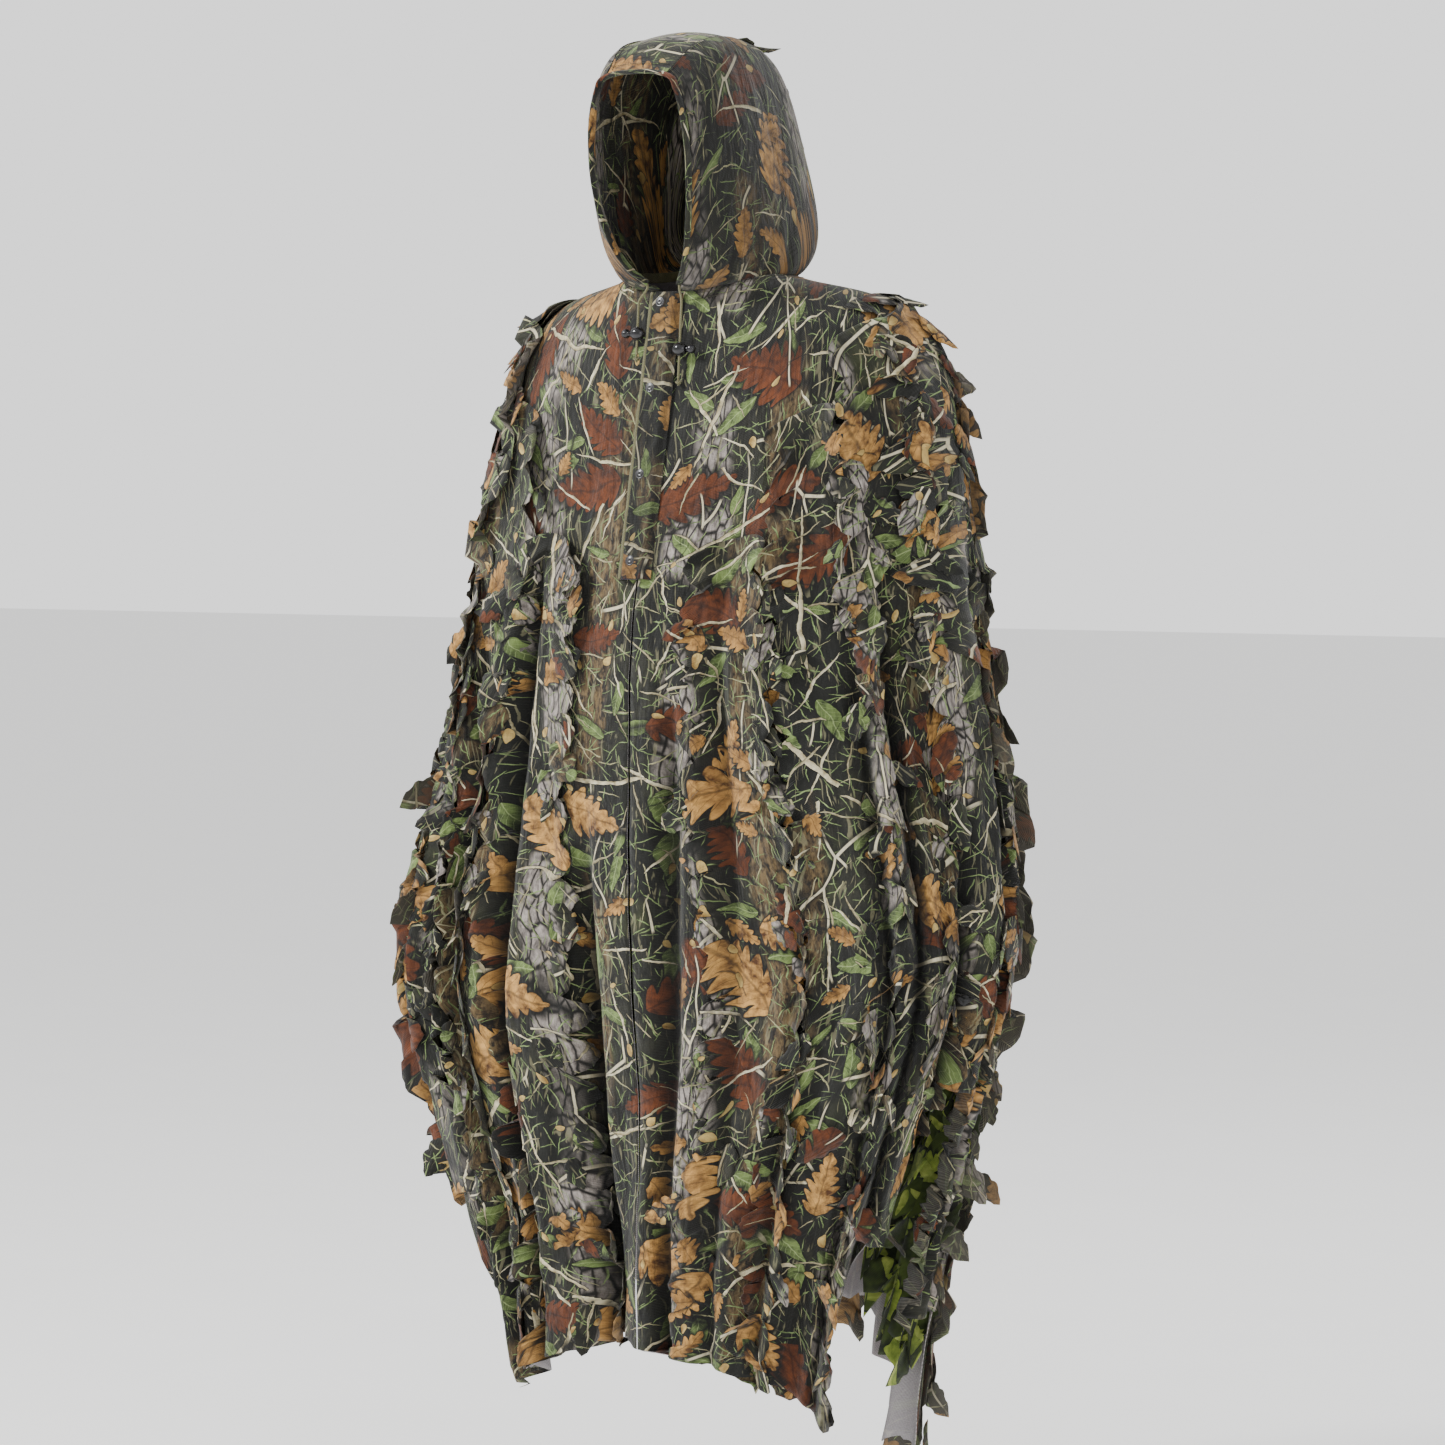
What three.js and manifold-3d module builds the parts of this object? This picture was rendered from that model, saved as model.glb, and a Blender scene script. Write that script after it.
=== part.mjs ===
// Hooded leafy camouflage poncho, hung at its worn shape.
// Millimetres, +Z up, the wearer faces -Y and the wearer's left is +X.
// The origin is the middle of the base of the throat, where the two fronts and the hood meet.

import * as THREE from 'three';
import { mergeVertices } from 'three/addons/utils/BufferGeometryUtils.js';
import Module from 'manifold-3d';

const wasm = await Module();
wasm.setup();

// ---------------------------------------------------------------- driving sizes

// Cloth
const CLOTH = 2;                  // thickness given to the knitted mesh with its sewn layers
const SEAM_GAP = 0.4;             // gap kept between two sewn edges
const LAYER_GAP = 0.5;            // air between the mesh and a strip sewn to it
const STRIP = 1.4;                // thickness of a leaf-cut strip

// Neck seam, an oval that rises towards the nape
const NECK_HALF_WIDTH = 98;
const NECK_FRONT = -62;
const NECK_MIDDLE = 26;
const NECK_BACK = 106;
const NECK_SIDE_RISE = 20;
const NECK_BACK_RISE = 30;

// Drape of the body cloth
const SHOULDER_HALF_WIDTH = 234;
const SHOULDER_DROP = 20;         // height of the shoulders under the throat
const HAND_HALF_WIDTH = 412;
const HEM_HALF_WIDTH = 280;
const FRONT_LENGTH = 1250;        // height of the front hem under the throat
const BACK_LENGTH = 1380;         // height of the back corners under the throat
const HAND_DROP = 830;            // height of the hands under the throat
const CHEST_DEPTH = 73;           // how far the placket leans forward along its height
const PLACKET_DROP = 340;
const SQUARENESS = 0.86;          // below 1 a level section through the drape is fuller than an oval
const SIDE_HEM_SHARE = 0.74;      // length of the cloth at the arm, as a share of a full rib
const CENTRE_HEM_SHARE = 0.905;   // the same at the middle of the back
const CORNER_ANGLE = 42;          // the front keeps its full length up to this angle
const BACK_CORNER_ANGLE = 108;    // where the back corner hangs lowest

// Hood
const HOOD_TOP = 306;             // height of the crown over the throat
const HOOD_HALF_WIDTH = 103;
const HOOD_BACK = 115;
const GUSSET_HALF_WIDTH = 52;
const FACE_HALF_WIDTH = 66;
const FACE_TOP = 252;             // top of the face opening
const FACE_FRONT = -136;          // how far its top reaches forward
const FACE_MIDDLE = -124;

// Drawcord
const CORD_RADIUS = 1.5;
const CORD_CLEARANCE = 0.5;
const CASING_WALL = 1.7;
const CASING_GAP = 1.3;

// Placket, sewn along its left edge and closed by snaps
const FLAP_RIGHT = -18;           // free edge
const FLAP_LEFT = 12;             // sewn edge, which is the fold it opens on
const FLAP_THICKNESS = 1.2;
const UNDERLAY_RIGHT = -22.4;
const UNDERLAY_LEFT = 2;
const BINDING_WIDTH = 4;
const BINDING_THICKNESS = 2.2;
const BINDING_GAP = 0.4;

// Snap fasteners
const SNAP_COUNT = 4;
const SNAP_PITCH = 104;
const FIRST_SNAP = 14;            // below the neck seam
const SNAP_X = -8;
const CAP_RADIUS = 6.4;
const CAP_DOME = 1.7;
const STEM_RADIUS = 1.5;
const STEM_CLEARANCE = 0.4;
const SOCKET_RADIUS = 5.2;
const STUD_RADIUS = 2.9;
const STUD_CLEARANCE = 0.8;
const FLANGE = 0.7;
const STACK_GAP = 0.35;

// Cord locks
const LOCK_RADIUS = 8;
const LOCK_LENGTHENING = 1.2;     // the lock's body is this much longer than it is round
const BUTTON_RADIUS = 5.6;
const BUTTON_REACH = 16.2;        // from the middle of the lock to the middle of its button
const LOCK_STEM_RADIUS = 3.2;
const LOCK_BORE_CLEARANCE = 0.4;
const LOCK_TRAVEL = 2.5;
const KNOT_RADIUS = 3.6;

// ---------------------------------------------------------------- materials

const camo = new THREE.MeshStandardMaterial({ color: 0x4a4632, roughness: 0.95, metalness: 0 });
const camoGold = new THREE.MeshStandardMaterial({ color: 0x7a6236, roughness: 0.95, metalness: 0 });
const lime = new THREE.MeshStandardMaterial({ color: 0x7f9a35, roughness: 0.95, metalness: 0 });
const plum = new THREE.MeshStandardMaterial({ color: 0x3a2a40, roughness: 0.8, metalness: 0 });
const olive = new THREE.MeshStandardMaterial({ color: 0x6b6a45, roughness: 0.9, metalness: 0 });
const blackPlastic = new THREE.MeshStandardMaterial({ color: 0x141414, roughness: 0.35, metalness: 0 });
const steel = new THREE.MeshStandardMaterial({ color: 0x9a9a98, roughness: 0.3, metalness: 1 });

// ---------------------------------------------------------------- helpers

const radians = (degrees) => degrees * Math.PI / 180;
const mix = (a, b, t) => a + (b - a) * t;
const smooth = (t) => t * t * (3 - 2 * t);
const clamp01 = (t) => Math.min(1, Math.max(0, t));
const ramp = (t, from, to) => smooth(clamp01((t - from) / (to - from)));

const poncho = new THREE.Group();

function addMesh(parent, name, geometry, material) {
  const mesh = new THREE.Mesh(geometry, material);
  mesh.name = name;
  parent.add(mesh);
  return mesh;
}

// A closed sheet of cells laid on a surface: place(a, b, side, point) sets the point for
// a and b from 0 to 1, on the outer face where side is 1 and on the inner where it is 0.
// Where turnAtMiddle is set, the cells past the middle are split along their other diagonal,
// so that the two halves mirror each other.
function bentSheet(place, aSteps, bSteps, { mirrored = false, turnAtMiddle = false } = {}) {
  const positions = [];
  const point = new THREE.Vector3();
  for (const side of [0, 1]) {
    for (let j = 0; j <= bSteps; j += 1) {
      for (let i = 0; i <= aSteps; i += 1) {
        place(i / aSteps, j / bSteps, side, point);
        positions.push(mirrored ? -point.x : point.x, point.y, point.z);
      }
    }
  }
  const at = (i, j, side) => (side * (bSteps + 1) + j) * (aSteps + 1) + i;
  const triangles = [];
  const quad = (p, q, r, s) => {
    triangles.push(...(mirrored ? [p, r, q, p, s, r] : [p, q, r, p, r, s]));
  };
  for (let j = 0; j < bSteps; j += 1) {
    for (let i = 0; i < aSteps; i += 1) {
      if (turnAtMiddle && i >= aSteps / 2) {
        quad(at(i + 1, j, 1), at(i + 1, j + 1, 1), at(i, j + 1, 1), at(i, j, 1));
        quad(at(i + 1, j, 0), at(i, j, 0), at(i, j + 1, 0), at(i + 1, j + 1, 0));
      } else {
        quad(at(i, j, 1), at(i + 1, j, 1), at(i + 1, j + 1, 1), at(i, j + 1, 1));
        quad(at(i, j, 0), at(i, j + 1, 0), at(i + 1, j + 1, 0), at(i + 1, j, 0));
      }
    }
  }
  for (let i = 0; i < aSteps; i += 1) {
    quad(at(i, 0, 0), at(i + 1, 0, 0), at(i + 1, 0, 1), at(i, 0, 1));
    quad(at(i, bSteps, 1), at(i + 1, bSteps, 1), at(i + 1, bSteps, 0), at(i, bSteps, 0));
  }
  for (let j = 0; j < bSteps; j += 1) {
    quad(at(0, j, 0), at(0, j, 1), at(0, j + 1, 1), at(0, j + 1, 0));
    quad(at(aSteps, j, 1), at(aSteps, j, 0), at(aSteps, j + 1, 0), at(aSteps, j + 1, 1));
  }
  const sheet = new THREE.BufferGeometry();
  sheet.setAttribute('position', new THREE.Float32BufferAttribute(positions, 3));
  sheet.setIndex(triangles);
  sheet.computeVertexNormals();
  return sheet;
}

function toManifold(geometry) {
  const bare = geometry.clone();
  bare.deleteAttribute('normal');
  bare.deleteAttribute('uv');
  const merged = mergeVertices(bare, 1e-4);
  return new wasm.Manifold(new wasm.Mesh({
    numProp: 3,
    vertProperties: new Float32Array(merged.getAttribute('position').array),
    triVerts: new Uint32Array(merged.getIndex().array),
  }));
}

function fromManifold(manifold) {
  const mesh = manifold.getMesh();
  const geometry = new THREE.BufferGeometry();
  geometry.setAttribute('position', new THREE.BufferAttribute(mesh.vertProperties, 3));
  geometry.setIndex(new THREE.BufferAttribute(mesh.triVerts, 1));
  geometry.computeVertexNormals();
  return geometry;
}

function ring(outer, inner, sides) {
  const shape = new THREE.Shape();
  shape.absarc(0, 0, outer, 0, 2 * Math.PI, false);
  if (inner > 0) {
    const hole = new THREE.Path();
    hole.absarc(0, 0, inner, 0, 2 * Math.PI, true);
    shape.holes.push(hole);
  }
  return { shape, options: { curveSegments: sides, bevelEnabled: false } };
}

// A tube, or a pipe where inner is over 0, along a curve.
function along(curve, outer, inner, steps, sides) {
  const { shape, options } = ring(outer, inner, sides);
  return new THREE.ExtrudeGeometry(shape, { ...options, steps, extrudePath: curve });
}

// ---------------------------------------------------------------- the drape of the body cloth

// Three ribs run from the neck seam to the hem: down the middle of the front,
// over the shoulder and the arm, and down the middle of the back.
// They have the same stations: neck, shoulder, chest, ribs, waist, hip, wrist, hand, thigh, knee, shin.
const lean = CHEST_DEPTH / PLACKET_DROP;
const frontRib = ribCurve([
  [0, NECK_FRONT, 0],
  [0, NECK_FRONT - lean * PLACKET_DROP / 3, -PLACKET_DROP / 3],
  [0, NECK_FRONT - lean * PLACKET_DROP * 2 / 3, -PLACKET_DROP * 2 / 3],
  [0, NECK_FRONT - CHEST_DEPTH, -PLACKET_DROP],
  [0, NECK_FRONT - CHEST_DEPTH - 16, -PLACKET_DROP - 113],
  [0, NECK_FRONT - CHEST_DEPTH - 18, -mix(PLACKET_DROP + 113, FRONT_LENGTH, 1 / 6)],
  [0, NECK_FRONT - CHEST_DEPTH - 16, -mix(PLACKET_DROP + 113, FRONT_LENGTH, 2 / 6)],
  [0, NECK_FRONT - CHEST_DEPTH - 14, -mix(PLACKET_DROP + 113, FRONT_LENGTH, 3 / 6)],
  [0, NECK_FRONT - CHEST_DEPTH - 12, -mix(PLACKET_DROP + 113, FRONT_LENGTH, 4 / 6)],
  [0, NECK_FRONT - CHEST_DEPTH - 10, -mix(PLACKET_DROP + 113, FRONT_LENGTH, 5 / 6)],
  [0, NECK_FRONT - CHEST_DEPTH - 8, -FRONT_LENGTH],
]);
const sideRib = ribCurve([
  [NECK_HALF_WIDTH, NECK_MIDDLE, NECK_SIDE_RISE],
  [SHOULDER_HALF_WIDTH, 72, -SHOULDER_DROP],
  [mix(SHOULDER_HALF_WIDTH, HAND_HALF_WIDTH, 0.32), 86, -HAND_DROP * 0.15],
  [mix(SHOULDER_HALF_WIDTH, HAND_HALF_WIDTH, 0.50), 86, -HAND_DROP * 0.32],
  [mix(SHOULDER_HALF_WIDTH, HAND_HALF_WIDTH, 0.62), 82, -HAND_DROP * 0.49],
  [mix(SHOULDER_HALF_WIDTH, HAND_HALF_WIDTH, 0.78), 66, -HAND_DROP * 0.66],
  [mix(SHOULDER_HALF_WIDTH, HAND_HALF_WIDTH, 0.94), 40, -HAND_DROP * 0.84],
  [HAND_HALF_WIDTH, 0, -HAND_DROP],
  [mix(HAND_HALF_WIDTH, HEM_HALF_WIDTH, 0.4), 0, -mix(HAND_DROP, BACK_LENGTH, 0.33)],
  [mix(HAND_HALF_WIDTH, HEM_HALF_WIDTH, 0.8), 0, -mix(HAND_DROP, BACK_LENGTH, 0.66)],
  [HEM_HALF_WIDTH, 0, -BACK_LENGTH],
]);
const backRib = ribCurve([
  [0, NECK_BACK, NECK_BACK_RISE],
  [0, NECK_BACK + 12, -60],
  [0, NECK_BACK + 26, -170],
  [0, NECK_BACK + 34, -300],
  [0, NECK_BACK + 38, -430],
  [0, NECK_BACK + 41, -mix(430, BACK_LENGTH, 1 / 6)],
  [0, NECK_BACK + 42, -mix(430, BACK_LENGTH, 2 / 6)],
  [0, NECK_BACK + 42, -mix(430, BACK_LENGTH, 3 / 6)],
  [0, NECK_BACK + 41, -mix(430, BACK_LENGTH, 4 / 6)],
  [0, NECK_BACK + 39, -mix(430, BACK_LENGTH, 5 / 6)],
  [0, NECK_BACK + 37, -BACK_LENGTH],
]);

function ribCurve(points) {
  return new THREE.CatmullRomCurve3(points.map((p) => new THREE.Vector3(...p)), false, 'catmullrom', 0.5);
}

// The point of the drape at an angle round the body, 0 at the front, 90 at the left arm and 180
// at the back, and at a share u of the way from the neck to the end of the ribs.
function drape(angle, u) {
  const inFront = angle <= 90;
  const side = sideRib.getPoint(u);
  const middle = (inFront ? frontRib : backRib).getPoint(u);
  const outward = Math.abs(Math.sin(radians(angle)));
  const forward = Math.abs(Math.cos(radians(angle)));
  const half = SEAM_GAP / 2;
  const sideY = side.y + (inFront ? -half : half);
  const x = (inFront ? half : 0) + side.x * outward ** SQUARENESS;
  const y = mix(sideY, middle.y, forward ** SQUARENESS);
  const z = mix(middle.z, side.z, outward * outward);
  return new THREE.Vector3(x, y, z);
}

function drapeNormal(angle, u) {
  const low = angle <= 90 ? 0 : 90.001;
  const high = angle <= 90 ? 90 : 180;
  const spread = 1.5;
  const step = 0.004;
  const before = drape(Math.max(low, angle - spread), u);
  const after = drape(Math.min(high, angle + spread), u);
  const above = drape(angle, Math.max(0, u - step));
  const below = drape(angle, Math.min(1, u + step));
  const normal = after.sub(before).cross(below.sub(above)).normalize().negate();
  if (angle < 3 || angle > 177) {
    normal.x = 0;
    normal.normalize();
  }
  return normal;
}

// How far down its rib the cloth reaches: long in front and behind, short over the arm.
function hemShare(angle) {
  if (angle <= 90) {
    return mix(1, SIDE_HEM_SHARE, ramp(angle, CORNER_ANGLE, 74));
  }
  if (angle <= BACK_CORNER_ANGLE) {
    return mix(SIDE_HEM_SHARE, 1, ramp(angle, 90, BACK_CORNER_ANGLE));
  }
  return mix(1, CENTRE_HEM_SHARE, ramp(angle, BACK_CORNER_ANGLE + 4, 150));
}

// A piece of the drape between two angles and two shares of the cloth's length,
// standing off the mesh by a distance.
function drapePiece({ fromAngle, toAngle, top, bottom, standOff, thickness, aSteps, bSteps, mirrored }) {
  return bentSheet((a, b, side, point) => {
    const angle = mix(fromAngle, toAngle, a);
    const u = mix(top, bottom, 1 - b) * hemShare(angle);
    point.copy(drape(angle, u));
    point.addScaledVector(drapeNormal(angle, u), standOff + thickness * side);
  }, aSteps, bSteps, { mirrored });
}

// ---------------------------------------------------------------- body panels

const ROWS = 16;
const CELL_ANGLE = 10;
const QUARTER_CELLS = 90 / CELL_ANGLE;

const frontPanel = {
  fromAngle: 0, toAngle: 90, top: 0, bottom: 1, standOff: 0, thickness: CLOTH, aSteps: QUARTER_CELLS, bSteps: ROWS,
};
addMesh(poncho, 'front_panel_left', drapePiece(frontPanel), camo);
addMesh(poncho, 'front_panel_right', drapePiece({ ...frontPanel, mirrored: true }), camo);

// The back is one width of cloth from arm to arm.
function backPiece({ reach, top, bottom, standOff, thickness, aSteps, bSteps }) {
  return bentSheet((a, b, side, point) => {
    const across = (2 * a - 1) * reach;
    const angle = 180 - 89.999 * Math.abs(across);
    const u = mix(top, bottom, 1 - b) * hemShare(angle);
    const normal = drapeNormal(angle, u);
    point.copy(drape(angle, u)).addScaledVector(normal, standOff + thickness * side);
    point.x *= across > 0 ? -1 : 1;
  }, aSteps, bSteps, { turnAtMiddle: true });
}

addMesh(poncho, 'back_panel', backPiece({
  reach: 1, top: 0, bottom: 1, standOff: 0, thickness: CLOTH, aSteps: 2 * QUARTER_CELLS, bSteps: ROWS,
}), camo);

// Bright leaf-cut cloth hangs inside the back, over the legs.
const LINING_CELLS = 7;
const LINING_TOP_ROW = 8;
const LINING_BOTTOM_ROW = 15;
addMesh(poncho, 'inner_leaf_layer', backPiece({
  reach: LINING_CELLS / QUARTER_CELLS,
  top: LINING_TOP_ROW / ROWS,
  bottom: LINING_BOTTOM_ROW / ROWS,
  standOff: -LAYER_GAP - STRIP,
  thickness: STRIP,
  aSteps: 2 * LINING_CELLS,
  bSteps: LINING_BOTTOM_ROW - LINING_TOP_ROW,
}), lime);

// ---------------------------------------------------------------- leaf-cut strips

// The strips follow the cells of the panels under them, so that they lie parallel to the mesh:
// each is two cells wide, and runs from one row under the neck seam to another.
const STRIP_STAND_OFF = CLOTH + LAYER_GAP;
const STRIP_INSET = 0.5;          // degrees taken off each long edge of a strip
const strips = [
  { name: 'centre', angle: 20, row: 5, lastRow: ROWS },
  { name: 'chest', angle: 40, row: 3, lastRow: ROWS },
  { name: 'rib', angle: 60, row: 2, lastRow: ROWS },
  { name: 'arm', angle: 80, row: 1, lastRow: ROWS },
  { name: 'back_arm', angle: 100, row: 1, lastRow: 12 },
  { name: 'back_blade', angle: 120, row: 2, lastRow: ROWS },
  { name: 'back_rib', angle: 140, row: 2, lastRow: ROWS },
  { name: 'back_spine', angle: 160, row: 1, lastRow: ROWS },
];

for (const strip of strips) {
  for (const hand of ['left', 'right']) {
    addMesh(poncho, `leaf_strip_${strip.name}_${hand}`, drapePiece({
      fromAngle: strip.angle - CELL_ANGLE + STRIP_INSET,
      toAngle: strip.angle + CELL_ANGLE - STRIP_INSET,
      top: strip.row / ROWS,
      bottom: strip.lastRow / ROWS,
      standOff: STRIP_STAND_OFF,
      thickness: STRIP,
      aSteps: 2,
      bSteps: strip.lastRow - strip.row,
      mirrored: hand === 'right',
    }), camoGold);
  }
}

// ---------------------------------------------------------------- hood

// The neck seam at an angle round the body, lifted by a distance.
function neckPoint(angle, lift) {
  const point = drape(angle, 0);
  point.z += lift;
  return point;
}

const CHIN_ANGLE = 4;
const NAPE_ANGLE = 158;           // where the middle strip of the hood meets the neck seam
const HOOD_LIFT = 2 * SEAM_GAP + CLOTH * 1.6;

// The seam between a side of the hood and its middle strip, from the top of the face
// opening over the crown to the nape.
const hoodSeam = new THREE.CatmullRomCurve3([
  new THREE.Vector3(GUSSET_HALF_WIDTH * 0.8, FACE_FRONT, FACE_TOP),
  new THREE.Vector3(GUSSET_HALF_WIDTH, FACE_FRONT * 0.62, HOOD_TOP - 18),
  new THREE.Vector3(GUSSET_HALF_WIDTH, -6, HOOD_TOP - 8),
  new THREE.Vector3(GUSSET_HALF_WIDTH, HOOD_BACK * 0.6, HOOD_TOP * 0.89),
  new THREE.Vector3(GUSSET_HALF_WIDTH, HOOD_BACK - 8, HOOD_TOP * 0.64),
  new THREE.Vector3(GUSSET_HALF_WIDTH, HOOD_BACK - 8, HOOD_TOP * 0.33),
  neckPoint(NAPE_ANGLE, HOOD_LIFT),
], false, 'catmullrom', 0.5);
const SIDE_PANEL_END = 0.955;     // the side panel narrows to its last short edge here

// A cubic between two ends whose middle passes at a given place.
function throughMiddle(start, end, middle, t) {
  const control = (8 * middle - start - end) / 6;
  const r = 1 - t;
  return r * r * r * start + 3 * r * r * t * control + 3 * r * t * t * control + t * t * t * end;
}

// A point of the side of the hood: along the seam from front to nape, and down from the seam to the neck.
function hoodSide(alongSeam, down) {
  const share = alongSeam * SIDE_PANEL_END;
  const top = hoodSeam.getPoint(share);
  const bottom = neckPoint(mix(CHIN_ANGLE, NAPE_ANGLE, share), HOOD_LIFT);
  const halfWidth = mix(FACE_HALF_WIDTH, HOOD_HALF_WIDTH, ramp(share, 0, 0.3));
  const middleX = mix(Math.max(top.x, bottom.x) + 4, halfWidth, ramp(share, 1.05, 0.7));
  const middleY = mix(FACE_MIDDLE, mix(top.y, bottom.y, 0.5) + 6 * share, ramp(share, 0, 0.35));
  const x = throughMiddle(top.x, bottom.x, middleX, down);
  const y = throughMiddle(top.y, bottom.y, middleY, down);
  const drop = mix(smooth(down), down, 0.25);
  return new THREE.Vector3(x, y, mix(top.z, bottom.z, drop));
}

function surfaceNormal(surface, a, b) {
  const step = 0.01;
  const before = surface(Math.max(0, a - step), b);
  const after = surface(Math.min(1, a + step), b);
  const above = surface(a, Math.max(0, b - step));
  const below = surface(a, Math.min(1, b + step));
  return after.sub(before).cross(below.sub(above)).normalize();
}

function hoodSidePiece(mirrored) {
  return bentSheet((a, b, side, point) => {
    const normal = surfaceNormal(hoodSide, a, 1 - b).negate();
    point.copy(hoodSide(a, 1 - b)).addScaledVector(normal, CLOTH * side);
    point.x += SEAM_GAP;
  }, 12, 10, { mirrored });
}

addMesh(poncho, 'hood_side_left', hoodSidePiece(false), camo);
addMesh(poncho, 'hood_side_right', hoodSidePiece(true), camo);

// The middle strip of the hood, slightly crowned between its two seams.
const GUSSET_CROWN = 9;

function gusset(alongSeam, across, standOff) {
  const seam = hoodSeam.getPoint(alongSeam);
  const tangent = hoodSeam.getTangent(alongSeam);
  const outward = new THREE.Vector3(0, -tangent.z, tangent.y).normalize();
  const crown = GUSSET_CROWN * (1 - across * across) * Math.sin(Math.PI * clamp01(0.1 + 0.85 * alongSeam));
  const point = new THREE.Vector3((seam.x - SEAM_GAP) * across, seam.y, seam.z);
  return point.addScaledVector(outward, crown + standOff);
}

const HOOD_ROWS = 18;
const HOOD_CELLS = 4;             // across the middle strip

// A piece of the middle strip between two rows, as many cells wide as it is told.
function gussetPiece({ fromRow, toRow, cells, standOff, thickness }) {
  return bentSheet((a, b, side, point) => {
    const across = (2 * a - 1) * cells / HOOD_CELLS;
    point.copy(gusset(mix(fromRow, toRow, b) / HOOD_ROWS, across, standOff + thickness * side));
  }, cells, toRow - fromRow);
}

addMesh(poncho, 'hood_middle_strip', gussetPiece({
  fromRow: 0, toRow: HOOD_ROWS, cells: HOOD_CELLS, standOff: 0, thickness: CLOTH,
}), camo);
addMesh(poncho, 'leaf_strip_hood', gussetPiece({
  fromRow: 8, toRow: HOOD_ROWS - 1, cells: 2, standOff: STRIP_STAND_OFF, thickness: STRIP,
}), camoGold);

// ---------------------------------------------------------------- hem casing and drawcord

// The rim of the face opening, from the right end under the chin over the top to the left end.
const CASING_RADIUS = CORD_RADIUS + CORD_CLEARANCE + CASING_WALL;
const RIM_END = 0.93;
const rimPoints = [];
for (const down of [RIM_END, 0.84, 0.74, 0.62, 0.5, 0.38, 0.26, 0.14, 0.05]) {
  const point = hoodSide(0, down);
  rimPoints.push(new THREE.Vector3(-point.x, point.y, point.z));
}
for (const across of [-0.6, 0, 0.6]) {
  rimPoints.push(gusset(0, across, 0));
}
for (const down of [0.05, 0.14, 0.26, 0.38, 0.5, 0.62, 0.74, 0.84, RIM_END]) {
  rimPoints.push(hoodSide(0, down));
}
const rim = new THREE.CatmullRomCurve3(
  rimPoints.map((p) => new THREE.Vector3(p.x, p.y - CASING_RADIUS - CASING_GAP - CLOTH * 0.7, p.z)),
  false, 'catmullrom', 0.5,
);
const RIM_STEPS = 26;
addMesh(poncho, 'hood_hem_casing', along(rim, CASING_RADIUS, CORD_RADIUS + CORD_CLEARANCE, RIM_STEPS, 4), camo);
addMesh(poncho, 'hood_drawcord', along(rim, CORD_RADIUS, 0, RIM_STEPS, 4), olive);

// The two tails come out of the casing, curve over and hang straight down to a knot.
const cordPoints = {
  left: [
    [23.2, -81.5, 10.4], [22.3, -80.8, 8.2], [22.1, -80.4, 4.2], [23.4, -80.9, -0.8], [25.6, -82, -6.6], [27, -83.4, -14],
    [27, -84.2, -24], [27, -85, -34], [27, -85.8, -44], [27, -86.6, -54], [27, -87.4, -64], [27, -88.2, -74],
    [27, -89, -84], [27, -89.8, -94], [27, -90.48, -102.5],
  ],
  right: [
    [-23.2, -81.5, 10.4], [-22.3, -80.8, 8.2], [-22.8, -80.4, 4.2], [-25.6, -80.9, -0.4], [-29.4, -81.8, -5.2],
    [-32.4, -83, -10.4], [-33, -83.8, -17], [-33, -84.6, -27], [-33, -85.4, -37], [-33, -86.2, -47],
    [-33, -87, -57], [-33, -87.8, -67], [-33, -88.4, -74.5],
  ],
};
// Each lock's place on its straight stretch, which drops by 1 for every 0.08 that it moves forward.
const CORD_DROP = [0, -0.08, -1];
const locks = {
  left: { at: [27, -87.72, -68], buttonSide: 1 },
  right: { at: [-33, -86.36, -49], buttonSide: -1 },
};

for (const hand of ['left', 'right']) {
  const points = cordPoints[hand].map((p) => new THREE.Vector3(...p));
  const tail = new THREE.CatmullRomCurve3(points, false, 'catmullrom', 0.5);
  addMesh(poncho, `drawcord_tail_${hand}`, along(tail, CORD_RADIUS, 0, 16, 4), olive);

  const end = points.at(-1);
  const down = new THREE.Vector3(...CORD_DROP).normalize();
  const knot = new THREE.SphereGeometry(KNOT_RADIUS, 12, 8);
  const knotMesh = addMesh(poncho, `drawcord_knot_${hand}`, knot, olive);
  knotMesh.position.copy(end).addScaledVector(down, KNOT_RADIUS + 0.3);

  // The lock's own frame has its button along +X and the cord along Z.
  const lock = new THREE.Group();
  lock.position.set(...locks[hand].at);
  lock.rotation.x = -Math.atan2(-down.y, -down.z);
  lock.rotation.z = locks[hand].buttonSide > 0 ? 0 : Math.PI;
  poncho.add(lock);
  addLock(lock, hand);
}

function xCylinder(radius, fromX, toX, sides) {
  const cylinder = new THREE.CylinderGeometry(radius, radius, toX - fromX, sides);
  cylinder.rotateZ(-Math.PI / 2);
  cylinder.translate((fromX + toX) / 2, 0, 0);
  return cylinder;
}

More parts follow.
